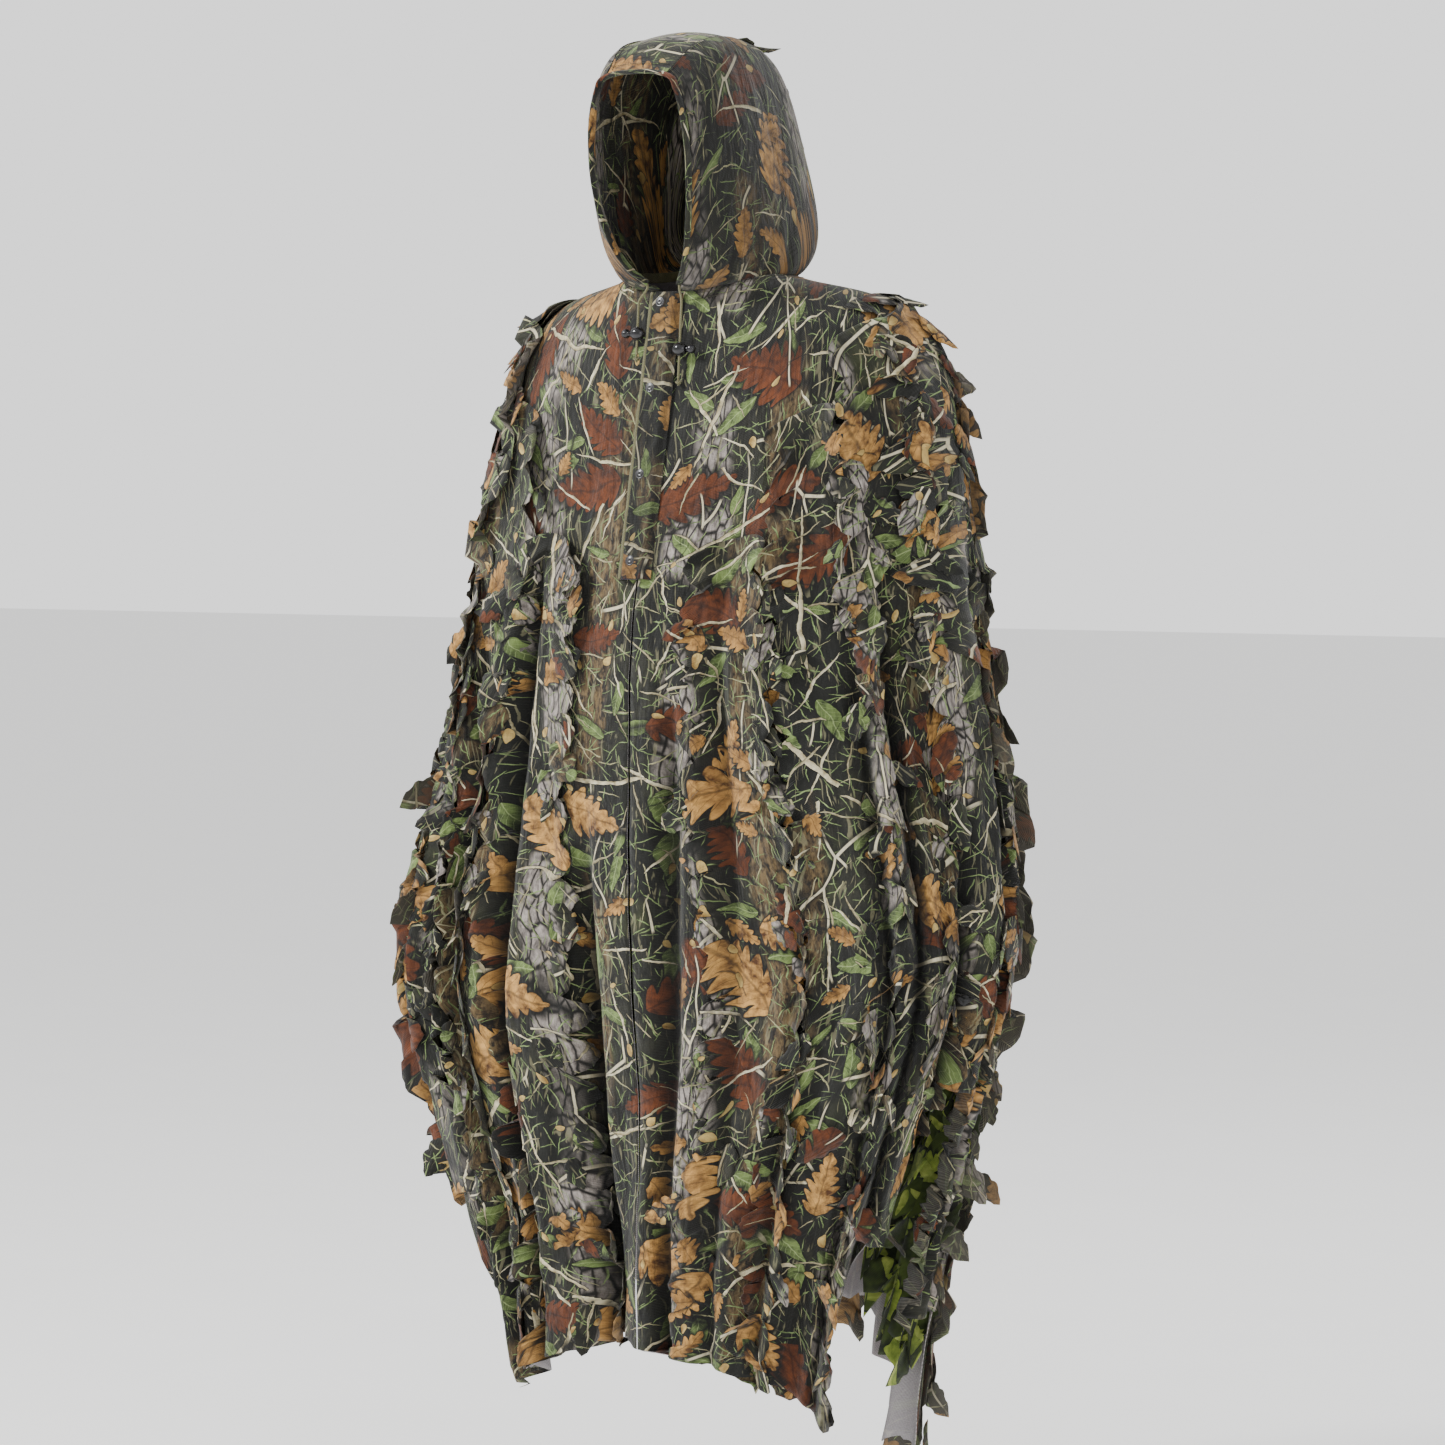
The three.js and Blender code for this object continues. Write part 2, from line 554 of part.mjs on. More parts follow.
function addLock(group, hand) {
  const cordHole = CORD_RADIUS + CORD_CLEARANCE;
  const boreRadius = LOCK_STEM_RADIUS + LOCK_BORE_CLEARANCE;
  const stemEnd = -(cordHole + 1.3);
  const boreEnd = stemEnd - LOCK_TRAVEL - 1.5;
  const drill = new THREE.CylinderGeometry(cordHole, cordHole, 4 * LOCK_RADIUS, 12);
  drill.rotateX(Math.PI / 2);

  const shell = new THREE.SphereGeometry(LOCK_RADIUS, 18, 12);
  shell.scale(LOCK_LENGTHENING, 1, 1);
  const body = toManifold(shell)
    .subtract(toManifold(xCylinder(boreRadius, boreEnd, 2 * LOCK_RADIUS, 14)))
    .subtract(toManifold(drill));
  addMesh(group, `cord_lock_body_${hand}`, fromManifold(body), blackPlastic);

  // The stem has a slot, so that it can travel past the cord.
  const slot = new THREE.BoxGeometry(2 * cordHole + LOCK_TRAVEL + 0.5, 2 * cordHole, 4 * LOCK_RADIUS);
  slot.translate((LOCK_TRAVEL + 0.5) / 2, 0, 0);
  const ball = new THREE.SphereGeometry(BUTTON_RADIUS, 16, 10);
  ball.translate(BUTTON_REACH, 0, 0);
  const button = toManifold(ball)
    .add(toManifold(xCylinder(LOCK_STEM_RADIUS, stemEnd, BUTTON_REACH, 14)))
    .subtract(toManifold(slot));
  addMesh(group, `cord_lock_button_${hand}`, fromManifold(button), blackPlastic);

  // The spring behind the stem, at its pressed length.
  const springLength = 0.9;
  const springRadius = LOCK_STEM_RADIUS - 0.4;
  const spring = new THREE.LatheGeometry([
    new THREE.Vector2(springRadius - 0.8, 0),
    new THREE.Vector2(springRadius, 0),
    new THREE.Vector2(springRadius, springLength),
    new THREE.Vector2(springRadius - 0.8, springLength),
    new THREE.Vector2(springRadius - 0.8, 0),
  ], 12);
  spring.rotateZ(-Math.PI / 2);
  spring.translate(boreEnd + 0.3, 0, 0);
  addMesh(group, `cord_lock_spring_${hand}`, spring, steel);
}

// ---------------------------------------------------------------- placket and snaps

// The placket's own frame: X across, Z up along the chest, Y into the body; 0 is the mesh's inner face.
const placket = new THREE.Group();
placket.position.set(0, NECK_FRONT, 0);
placket.rotation.x = -Math.atan(lean);
poncho.add(placket);
const placketLength = Math.hypot(CHEST_DEPTH, PLACKET_DROP);
const PLACKET_TOP = -2;
const PLACKET_BOTTOM = -placketLength;

// Distances out from the mesh's inner face, from the cloth to the caps.
const postFlange = CLOTH + 0.6;
const underlay = postFlange + FLANGE + STACK_GAP;
const studBase = underlay + FLAP_THICKNESS + STACK_GAP;
const studTop = studBase + FLANGE + 2;
const socketBase = studBase + FLANGE + STACK_GAP;
const socketRoof = studTop + STACK_GAP;
const socketTop = socketRoof + FLANGE;
const flap = socketTop + STACK_GAP;
const capBase = flap + FLAP_THICKNESS + STACK_GAP;

const snapHeights = [];
for (let i = 0; i < SNAP_COUNT; i += 1) {
  snapHeights.push(-FIRST_SNAP - i * SNAP_PITCH);
}

function layer(rightX, leftX, out, thickness) {
  const slab = new THREE.BoxGeometry(leftX - rightX, thickness, PLACKET_TOP - PLACKET_BOTTOM);
  slab.translate((rightX + leftX) / 2, -out - thickness / 2, (PLACKET_TOP + PLACKET_BOTTOM) / 2);
  return slab;
}

// A layer of the placket with a hole for each snap's stem.
function piercedLayer(rightX, leftX, out) {
  let slab = toManifold(layer(rightX, leftX, out, FLAP_THICKNESS));
  for (const height of snapHeights) {
    const hole = new THREE.CylinderGeometry(STEM_RADIUS + STEM_CLEARANCE, STEM_RADIUS + STEM_CLEARANCE, 60, 10);
    hole.translate(SNAP_X, 0, height);
    slab = slab.subtract(toManifold(hole));
  }
  return fromManifold(slab);
}

function binding(edgeX, towards, out) {
  const start = edgeX + towards * BINDING_GAP;
  const end = start + towards * BINDING_WIDTH;
  const standOff = out - (BINDING_THICKNESS - FLAP_THICKNESS) / 2;
  return layer(Math.min(start, end), Math.max(start, end), standOff, BINDING_THICKNESS);
}

addMesh(placket, 'placket_underlay', piercedLayer(UNDERLAY_RIGHT, UNDERLAY_LEFT, underlay), plum);
addMesh(placket, 'underlay_edge_binding', binding(UNDERLAY_RIGHT, -1, underlay), olive);
addMesh(placket, 'placket_flap', piercedLayer(FLAP_RIGHT, FLAP_LEFT, flap), camo);
addMesh(placket, 'flap_edge_binding', binding(FLAP_RIGHT, -1, flap), olive);

// A turned piece of a snap: its profile is radius and distance out from the mesh.
function turned(profile, sides) {
  const points = profile.map(([radius, out]) => new THREE.Vector2(radius, out));
  const piece = new THREE.LatheGeometry(points, sides);
  piece.rotateX(Math.PI);
  return piece;
}

const stemHole = STEM_RADIUS + STEM_CLEARANCE;
const SNAP_SIDES = 12;
const snapPieces = {
  snap_post: [
    [0, postFlange], [SOCKET_RADIUS - 0.4, postFlange], [SOCKET_RADIUS - 0.4, postFlange + FLANGE],
    [STEM_RADIUS, postFlange + FLANGE], [STEM_RADIUS, studBase + 1.2], [0, studBase + 1.2],
  ],
  snap_stud: [
    [stemHole, studBase], [SOCKET_RADIUS - 0.2, studBase], [SOCKET_RADIUS - 0.2, studBase + FLANGE],
    [STUD_RADIUS - 0.3, studBase + FLANGE], [STUD_RADIUS, studTop - 0.9], [STUD_RADIUS - 0.4, studTop],
    [0, studTop], [0, studBase + 1.6], [stemHole, studBase + 1.6], [stemHole, studBase],
  ],
  snap_socket: [
    [STUD_RADIUS + STUD_CLEARANCE, socketBase], [SOCKET_RADIUS, socketBase], [SOCKET_RADIUS, socketTop],
    [stemHole, socketTop], [stemHole, socketRoof], [STUD_RADIUS + STUD_CLEARANCE, socketRoof],
    [STUD_RADIUS + STUD_CLEARANCE, socketBase],
  ],
  snap_cap: [
    [0, socketRoof + 0.1], [STEM_RADIUS, socketRoof + 0.1], [STEM_RADIUS, capBase], [CAP_RADIUS - 0.2, capBase],
    [CAP_RADIUS, capBase + 0.4], [CAP_RADIUS * 0.84, capBase + CAP_DOME * 0.72],
    [CAP_RADIUS * 0.5, capBase + CAP_DOME * 0.95], [0, capBase + CAP_DOME],
  ],
};

snapHeights.forEach((height, i) => {
  for (const [name, profile] of Object.entries(snapPieces)) {
    const piece = addMesh(placket, `${name}_${i + 1}`, turned(profile, SNAP_SIDES), blackPlastic);
    piece.position.set(SNAP_X, 0, height);
  }
});

// ---------------------------------------------------------------- neck seam tape

const TAPE_HALF_HEIGHT = 6;
const TAPE_THICKNESS = 1.2;
const TAPE_STAND_OFF = 4.6;       // it lies inside the hood's lower edge

addMesh(poncho, 'neck_seam_tape', bentSheet((a, b, side, point) => {
  const across = 2 * a - 1;
  const angle = 180 - 166 * Math.abs(across);
  const seam = drape(angle, 0);
  const inward = new THREE.Vector3(-seam.x, NECK_MIDDLE - seam.y, 0).normalize();
  point.copy(seam).addScaledVector(inward, TAPE_STAND_OFF + TAPE_THICKNESS * (1 - side));
  point.z += (2 * b - 1) * TAPE_HALF_HEIGHT + 1;
  point.x *= across > 0 ? -1 : 1;
}, 26, 1), olive);

export default poncho;
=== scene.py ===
import math

import bpy
import numpy as np
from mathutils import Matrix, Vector


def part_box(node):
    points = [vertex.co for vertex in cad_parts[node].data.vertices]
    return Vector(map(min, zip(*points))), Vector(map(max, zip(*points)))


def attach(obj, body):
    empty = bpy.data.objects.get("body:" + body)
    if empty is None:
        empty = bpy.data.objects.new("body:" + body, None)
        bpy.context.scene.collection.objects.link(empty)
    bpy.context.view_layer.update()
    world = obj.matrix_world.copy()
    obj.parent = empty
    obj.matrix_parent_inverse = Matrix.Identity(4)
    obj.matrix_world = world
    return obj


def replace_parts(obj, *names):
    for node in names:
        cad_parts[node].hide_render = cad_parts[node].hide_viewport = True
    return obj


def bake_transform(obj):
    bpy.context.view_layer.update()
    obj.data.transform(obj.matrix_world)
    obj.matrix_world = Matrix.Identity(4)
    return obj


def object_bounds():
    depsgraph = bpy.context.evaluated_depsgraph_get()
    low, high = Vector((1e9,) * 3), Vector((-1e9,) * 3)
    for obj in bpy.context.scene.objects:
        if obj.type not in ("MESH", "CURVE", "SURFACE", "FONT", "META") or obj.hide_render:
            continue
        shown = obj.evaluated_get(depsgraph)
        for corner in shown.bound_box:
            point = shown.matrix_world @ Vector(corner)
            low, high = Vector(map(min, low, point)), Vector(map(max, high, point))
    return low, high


# A hooded poncho of printed camouflage mesh with leaf-cut strips, at its worn shape.
# Metres, +Z up. The wearer faces -Y and the wearer's left is +X.
# The origin is the middle of the base of the throat.

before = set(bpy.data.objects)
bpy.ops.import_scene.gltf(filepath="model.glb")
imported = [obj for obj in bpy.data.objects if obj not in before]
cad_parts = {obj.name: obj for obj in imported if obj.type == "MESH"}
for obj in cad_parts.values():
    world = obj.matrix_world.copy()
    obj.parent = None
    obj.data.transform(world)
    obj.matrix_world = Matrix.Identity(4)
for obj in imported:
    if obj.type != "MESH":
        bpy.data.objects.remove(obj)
cad_low, cad_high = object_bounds()

# ---------------------------------------------------------------- camera

VIEW_AZIMUTH = math.radians(32)
VIEW_ELEVATION = math.radians(3)
VIEW_DISTANCE = 6.0
VIEW_WIDTH = 1.734                # what the view takes in at the poncho
VIEW_ASIDE = 0.027                # the middle of the view, to the right of the origin
VIEW_HEIGHT = -0.513
SENSOR = 36.0

target = Vector((VIEW_ASIDE * math.cos(VIEW_AZIMUTH), VIEW_ASIDE * math.sin(VIEW_AZIMUTH), VIEW_HEIGHT))
towards_camera = Vector((
    math.sin(VIEW_AZIMUTH) * math.cos(VIEW_ELEVATION),
    -math.cos(VIEW_AZIMUTH) * math.cos(VIEW_ELEVATION),
    math.sin(VIEW_ELEVATION),
))
camera_data = bpy.data.cameras.new("camera")
camera = bpy.data.objects.new("camera", camera_data)
camera.location = target + towards_camera * VIEW_DISTANCE
camera.rotation_mode = "QUATERNION"
camera.rotation_quaternion = (-towards_camera).to_track_quat("-Z", "Y")
camera_data.sensor_width = SENSOR
camera_data.lens = SENSOR * VIEW_DISTANCE / VIEW_WIDTH
bpy.context.scene.collection.objects.link(camera)
bpy.context.scene.camera = camera

# ---------------------------------------------------------------- numbers and curves


def mix(a, b, t):
    return a + (b - a) * t


def ease(t, low, high):
    """0 below low, 1 above high, and smooth between them."""
    t = np.clip((t - low) / (high - low), 0, 1)
    return t * t * (3 - 2 * t)


def through(points, share):
    """Points of the smooth curve through a list of points, at shares of its length."""
    points = np.asarray(points, float)
    ends = np.vstack([2 * points[0] - points[1], points, 2 * points[-1] - points[-2]])
    place = np.clip(share, 0, 1) * (len(points) - 1)
    i = np.minimum(place.astype(int), len(points) - 2)
    w = (place - i)[..., None]
    a, b, c, d = ends[i], ends[i + 1], ends[i + 2], ends[i + 3]
    cubic = (3 * b - a - 3 * c + d) * w**3 + (2 * a - 5 * b + 4 * c - d) * w**2 + (c - a) * w + 2 * b
    return cubic / 2


def unit(v):
    return v / np.maximum(np.linalg.norm(v, axis=-1, keepdims=True), 1e-12)


def grid(a_range, b_range, a_steps, b_steps):
    a = np.linspace(*a_range, a_steps + 1)
    b = np.linspace(*b_range, b_steps + 1)
    return np.meshgrid(a, b)


def wobble(seed, *terms):
    """A smooth irregular wave of one or more values, from -1 to 1."""
    rng = np.random.default_rng(seed)
    total = 0.0
    for _ in range(4):
        phase = rng.uniform(0, 6.28)
        for value, rate in terms:
            phase = phase + value * rate * rng.uniform(0.5, 1.5) * rng.choice([-1, 1])
        total = total + np.sin(phase) / 4
    return total


# ---------------------------------------------------------------- meshes


def new_object(name, data):
    thing = bpy.data.objects.new(name, data)
    bpy.context.scene.collection.objects.link(thing)
    return thing


class Pile:
    """Gathers grids of points into one mesh, with a map of the cloth's own coordinates and each point's depth
    in the pleats for the painted shade.
    """

    def __init__(self):
        self.points = []
        self.flat = []
        self.faces = []
        self.painted_shade_depths = []
        self.count = 0
        self.area = 0.0

    def add(self, points, flat, closed=False, flip=False, depth=0.0):
        rows, columns = points.shape[:2]
        # depth is how deep each point lies in the pleats; the printed cloth is darkened by it as painted
        # shade.
        self.painted_shade_depths.append(np.broadcast_to(depth, (rows, columns)).ravel())
        index = np.arange(rows * columns).reshape(rows, columns) + self.count
        across = np.hstack([index, index[:, :1]]) if closed else index
        corners = [across[:-1, :-1], across[:-1, 1:], across[1:, 1:], across[1:, :-1]]
        quads = np.stack(corners, -1).reshape(-1, 4)
        self.faces.append(quads[:, ::-1] if flip else quads)
        self.points.append(points.reshape(-1, 3))
        self.flat.append(flat.reshape(-1, 2))
        self.count += rows * columns
        self.area += area_of(points)

    def cap(self, ring, flip=False):
        """Closes the ring of points that was added last, or first, given by its indices."""
        middle = self.count
        points = np.vstack(self.points)[ring]
        self.points.append(points.mean(axis=0, keepdims=True))
        self.painted_shade_depths.append(np.zeros(1))
        self.flat.append(np.vstack(self.flat)[ring].mean(axis=0, keepdims=True))
        self.count += 1
        turned = np.roll(ring, -1)
        fan = np.stack([ring, turned, np.full(len(ring), middle)], -1)
        self.faces.append(fan[:, ::-1] if flip else fan)

    def build(self, name, materials, thickness=0.0):
        mesh = bpy.data.meshes.new(name)
        faces = [face for block in self.faces for face in block.tolist()]
        mesh.from_pydata(np.vstack(self.points).tolist(), [], faces)
        uv = mesh.uv_layers.new(name="cloth")
        loops = np.empty(len(mesh.loops), int)
        mesh.loops.foreach_get("vertex_index", loops)
        uv.data.foreach_set("uv", np.vstack(self.flat)[loops].astype(np.float32).ravel())
        # Painted shade: each point's depth in the pleats goes to the printed cloth, which is darkened there.
        sunk_and_painted_shade = mesh.attributes.new("sunk_and_painted_shade", "FLOAT", "POINT")
        sunk_and_painted_shade.data.foreach_set("value", np.concatenate(self.painted_shade_depths).astype(np.float32))
        for material in materials:
            mesh.materials.append(material)
        mesh.polygons.foreach_set("use_smooth", np.ones(len(mesh.polygons), bool))
        mesh.update()
        thing = new_object(name, mesh)
        if thickness:
            solidify = thing.modifiers.new("cloth", "SOLIDIFY")
            solidify.thickness = thickness
            solidify.offset = -1
            solidify.material_offset = 1
            solidify.material_offset_rim = 1
        return thing


def metric(points):
    """The flat coordinates of a grid of points, as lengths along its rows and columns."""
    along_row = np.linalg.norm(np.diff(points, axis=1), axis=-1)
    along_column = np.linalg.norm(np.diff(points, axis=0), axis=-1)
    u = np.concatenate([np.zeros((len(points), 1)), np.cumsum(along_row, axis=1)], axis=1)
    v = np.concatenate([np.zeros((1, points.shape[1])), np.cumsum(along_column, axis=0)], axis=0)
    return np.stack([u, -v], -1)


def area_of(points):
    """The area of a grid of points."""
    one = points[1:, 1:] - points[:-1, :-1]
    other = points[1:, :-1] - points[:-1, 1:]
    return float(np.linalg.norm(np.cross(one, other), axis=-1).sum() / 2)


def frames_along(path, sideways):
    """The direction of a path at each point, and two directions square to it."""
    forward = unit(np.gradient(path, axis=0))
    across = unit(sideways - forward * (sideways * forward).sum(-1, keepdims=True))
    return forward, across, np.cross(forward, across)


def tube(pile, path, radius, sides, sideways=(1.0, 0.0, 0.0), relief=None, flatten=1.0):
    """A tube along a path; relief(turn, length) gives the share by which its radius changes."""
    sideways = np.broadcast_to(np.asarray(sideways, float), path.shape)
    _, across, outward = frames_along(path, sideways)
    turn = np.arange(sides) * 2 * math.pi / sides
    step = np.linalg.norm(np.diff(path, axis=0), axis=-1)
    length = np.concatenate([[0], np.cumsum(step)])
    turns, lengths = np.meshgrid(turn, length)
    size = radius * (1 + (relief(turns, lengths) if relief else 0 * turns))
    points = (
        path[:, None]
        + across[:, None] * (np.cos(turns) * size)[..., None]
        + outward[:, None] * (np.sin(turns) * size * flatten)[..., None]
    )
    start = pile.count
    pile.add(points, np.stack([turns * radius, lengths], -1), closed=True)
    pile.cap(np.arange(start, start + sides), flip=False)
    last = start + (len(path) - 1) * sides
    pile.cap(np.arange(last, last + sides), flip=True)


# ---------------------------------------------------------------- shader building


def put(tree, kind, values=None, **settings):
    """Adds a node; values are its inputs by name or number, each a value or another node's output."""
    node = tree.nodes.new(kind)
    for key, value in settings.items():
        setattr(node, key, value)
    for key, value in (values or {}).items():
        if isinstance(value, bpy.types.NodeSocket):
            tree.links.new(value, node.inputs[key])
        else:
            node.inputs[key].default_value = value
    return node


def calc(tree, operation, a, b=0.0, c=0.0, clamp=False):
    return put(tree, "ShaderNodeMath", {0: a, 1: b, 2: c}, operation=operation, use_clamp=clamp).outputs[0]


def vector_calc(tree, operation, a, b=(0.0, 0.0, 0.0)):
    return put(tree, "ShaderNodeVectorMath", {0: a, 1: b}, operation=operation).outputs[0]


def between(tree, value, low, high, start=0.0, end=1.0):
    values = {"Value": value, "From Min": low, "From Max": high, "To Min": start, "To Max": end}
    return put(tree, "ShaderNodeMapRange", values, interpolation_type="SMOOTHSTEP").outputs[0]


def blend(tree, amount, a, b, mode="MIX"):
    node = put(tree, "ShaderNodeMix", data_type="RGBA", blend_type=mode)
    for key, value in ((0, amount), (6, a), (7, b)):
        if isinstance(value, bpy.types.NodeSocket):
            tree.links.new(value, node.inputs[key])
        else:
            node.inputs[key].default_value = value
    return node.outputs[2]


def noise(tree, vector, scale, detail=2.0, rough=0.5, twist=0.0):
    values = {"Vector": vector, "Scale": scale, "Detail": detail, "Roughness": rough, "Distortion": twist}
    return put(tree, "ShaderNodeTexNoise", values, noise_dimensions="3D").outputs


def scaled(tree, vector, x, y, z=1.0):
    return vector_calc(tree, "MULTIPLY", vector, (x, y, z))


def colour(hex_code):
    """A colour as a shader takes it, from its usual six-digit code."""
    parts = [int(hex_code[i:i + 2], 16) / 255 for i in (0, 2, 4)]
    linear = [p / 12.92 if p <= 0.04045 else ((p + 0.055) / 1.055) ** 2.4 for p in parts]
    return (*linear, 1.0)


def new_group(name, inputs, outputs):
    """A shader node group with named inputs and outputs, and its two end nodes."""
    group = bpy.data.node_groups.new(name, "ShaderNodeTree")
    kinds = {"value": "NodeSocketFloat", "colour": "NodeSocketColor", "vector": "NodeSocketVector"}
    for title, kind in inputs:
        group.interface.new_socket(name=title, in_out="INPUT", socket_type=kinds[kind])
    for title, kind in outputs:
        group.interface.new_socket(name=title, in_out="OUTPUT", socket_type=kinds[kind])
    start = group.nodes.new("NodeGroupInput")
    end = group.nodes.new("NodeGroupOutput")
    return group, start.outputs, end


def place_group(tree, group, values):
    return put(tree, "ShaderNodeGroup", values, node_tree=group).outputs


# ---------------------------------------------------------------- the printed pattern


def make_scattered_leaf():
    """Leaves of one kind strewn over the cloth, each turned its own way."""
    group, given, end = new_group("scattered_leaf", [
        ("Vector", "vector"), ("Spacing", "value"), ("Length", "value"), ("Width", "value"),
        ("Lobes", "value"), ("Share", "value"), ("Seed", "value"),
    ], [("Mask", "value"), ("Shadow", "value"), ("Vein", "value"), ("Shade", "value"), ("Pick", "value")])
    t = group
    other_seed = calc(t, "MULTIPLY", given["Seed"], 1.7)
    seed = put(t, "ShaderNodeCombineXYZ", {0: given["Seed"], 1: other_seed}).outputs[0]
    moved = vector_calc(t, "ADD", given["Vector"], seed)
    bend = vector_calc(t, "SUBTRACT", noise(t, moved, 22.0, 1.0)["Color"], (0.5, 0.5, 0.5))
    moved = vector_calc(t, "ADD", moved, scaled(t, bend, 0.020, 0.020, 0.0))
    ragged = vector_calc(t, "SUBTRACT", noise(t, moved, 110.0, 2.0)["Color"], (0.5, 0.5, 0.5))
    moved = vector_calc(t, "ADD", moved, scaled(t, ragged, 0.0035, 0.0035, 0.0))
    density = calc(t, "DIVIDE", 1.0, given["Spacing"])
    cell = put(t, "ShaderNodeTexVoronoi", {"Vector": moved, "Scale": density, "Randomness": 0.75},
               voronoi_dimensions="2D").outputs
    picks = put(t, "ShaderNodeSeparateColor", {0: cell["Color"]}).outputs
    local = vector_calc(t, "SUBTRACT", moved, cell["Position"])
    angle = calc(t, "MULTIPLY", picks[0], 6.283)
    turn = put(t, "ShaderNodeVectorRotate", {"Vector": local, "Angle": angle}, rotation_type="Z_AXIS")
    turned = turn.outputs[0]
    spot = put(t, "ShaderNodeSeparateXYZ", {0: turned}).outputs
    size = between(t, picks[1], 0.0, 1.0, 0.7, 1.12)
    x = calc(t, "DIVIDE", spot[0], calc(t, "MULTIPLY", given["Length"], size))
    y = calc(t, "DIVIDE", spot[1], calc(t, "MULTIPLY", given["Width"], size))
    away = calc(t, "ABSOLUTE", y)
    swell = calc(t, "SUBTRACT", 1.0, calc(t, "MULTIPLY", x, x), clamp=True)
    swell = calc(t, "POWER", swell, 0.6)
    swell = calc(t, "MULTIPLY", swell, calc(t, "MULTIPLY_ADD", x, -0.3, 0.82))
    slant = calc(t, "MULTIPLY_ADD", away, -0.45, x)
    waves = calc(t, "COSINE", calc(t, "MULTIPLY", slant, calc(t, "MULTIPLY", given["Lobes"], 3.1416)))
    waves = calc(t, "MULTIPLY", calc(t, "GREATER_THAN", given["Lobes"], 0.5), calc(t, "ABSOLUTE", waves))
    narrow = calc(t, "MULTIPLY", calc(t, "GREATER_THAN", given["Lobes"], 0.5), -0.42)
    lobed = calc(t, "MULTIPLY", swell, calc(t, "ADD", calc(t, "MULTIPLY_ADD", waves, 0.52, 1.0), narrow))
    inside = calc(t, "SUBTRACT", lobed, away)
    shown = calc(t, "LESS_THAN", picks[2], given["Share"])
    mask = calc(t, "MULTIPLY", between(t, inside, 0.0, 0.07), shown)
    shadow = calc(t, "MULTIPLY", between(t, inside, -0.45, 0.02), shown)
    ribs = calc(t, "ABSOLUTE", calc(t, "SINE", calc(t, "MULTIPLY", slant, 14.0)))
    vein = calc(t, "MAXIMUM", between(t, away, 0.07, 0.015), between(t, ribs, 0.16, 0.02))
    lit = calc(t, "MULTIPLY_ADD", y, 0.35, 0.5)
    crumple = noise(t, moved, 90.0, 3.0, 0.6)["Fac"]
    creased = calc(t, "MULTIPLY_ADD", crumple, 2.4, -1.15)
    shade = calc(t, "ADD", calc(t, "MULTIPLY", lit, 0.9), creased, clamp=True)
    results = {"Mask": mask, "Shadow": shadow, "Vein": vein, "Shade": shade, "Pick": picks[1]}
    for title, socket in results.items():
        t.links.new(socket, end.inputs[title])
    return group


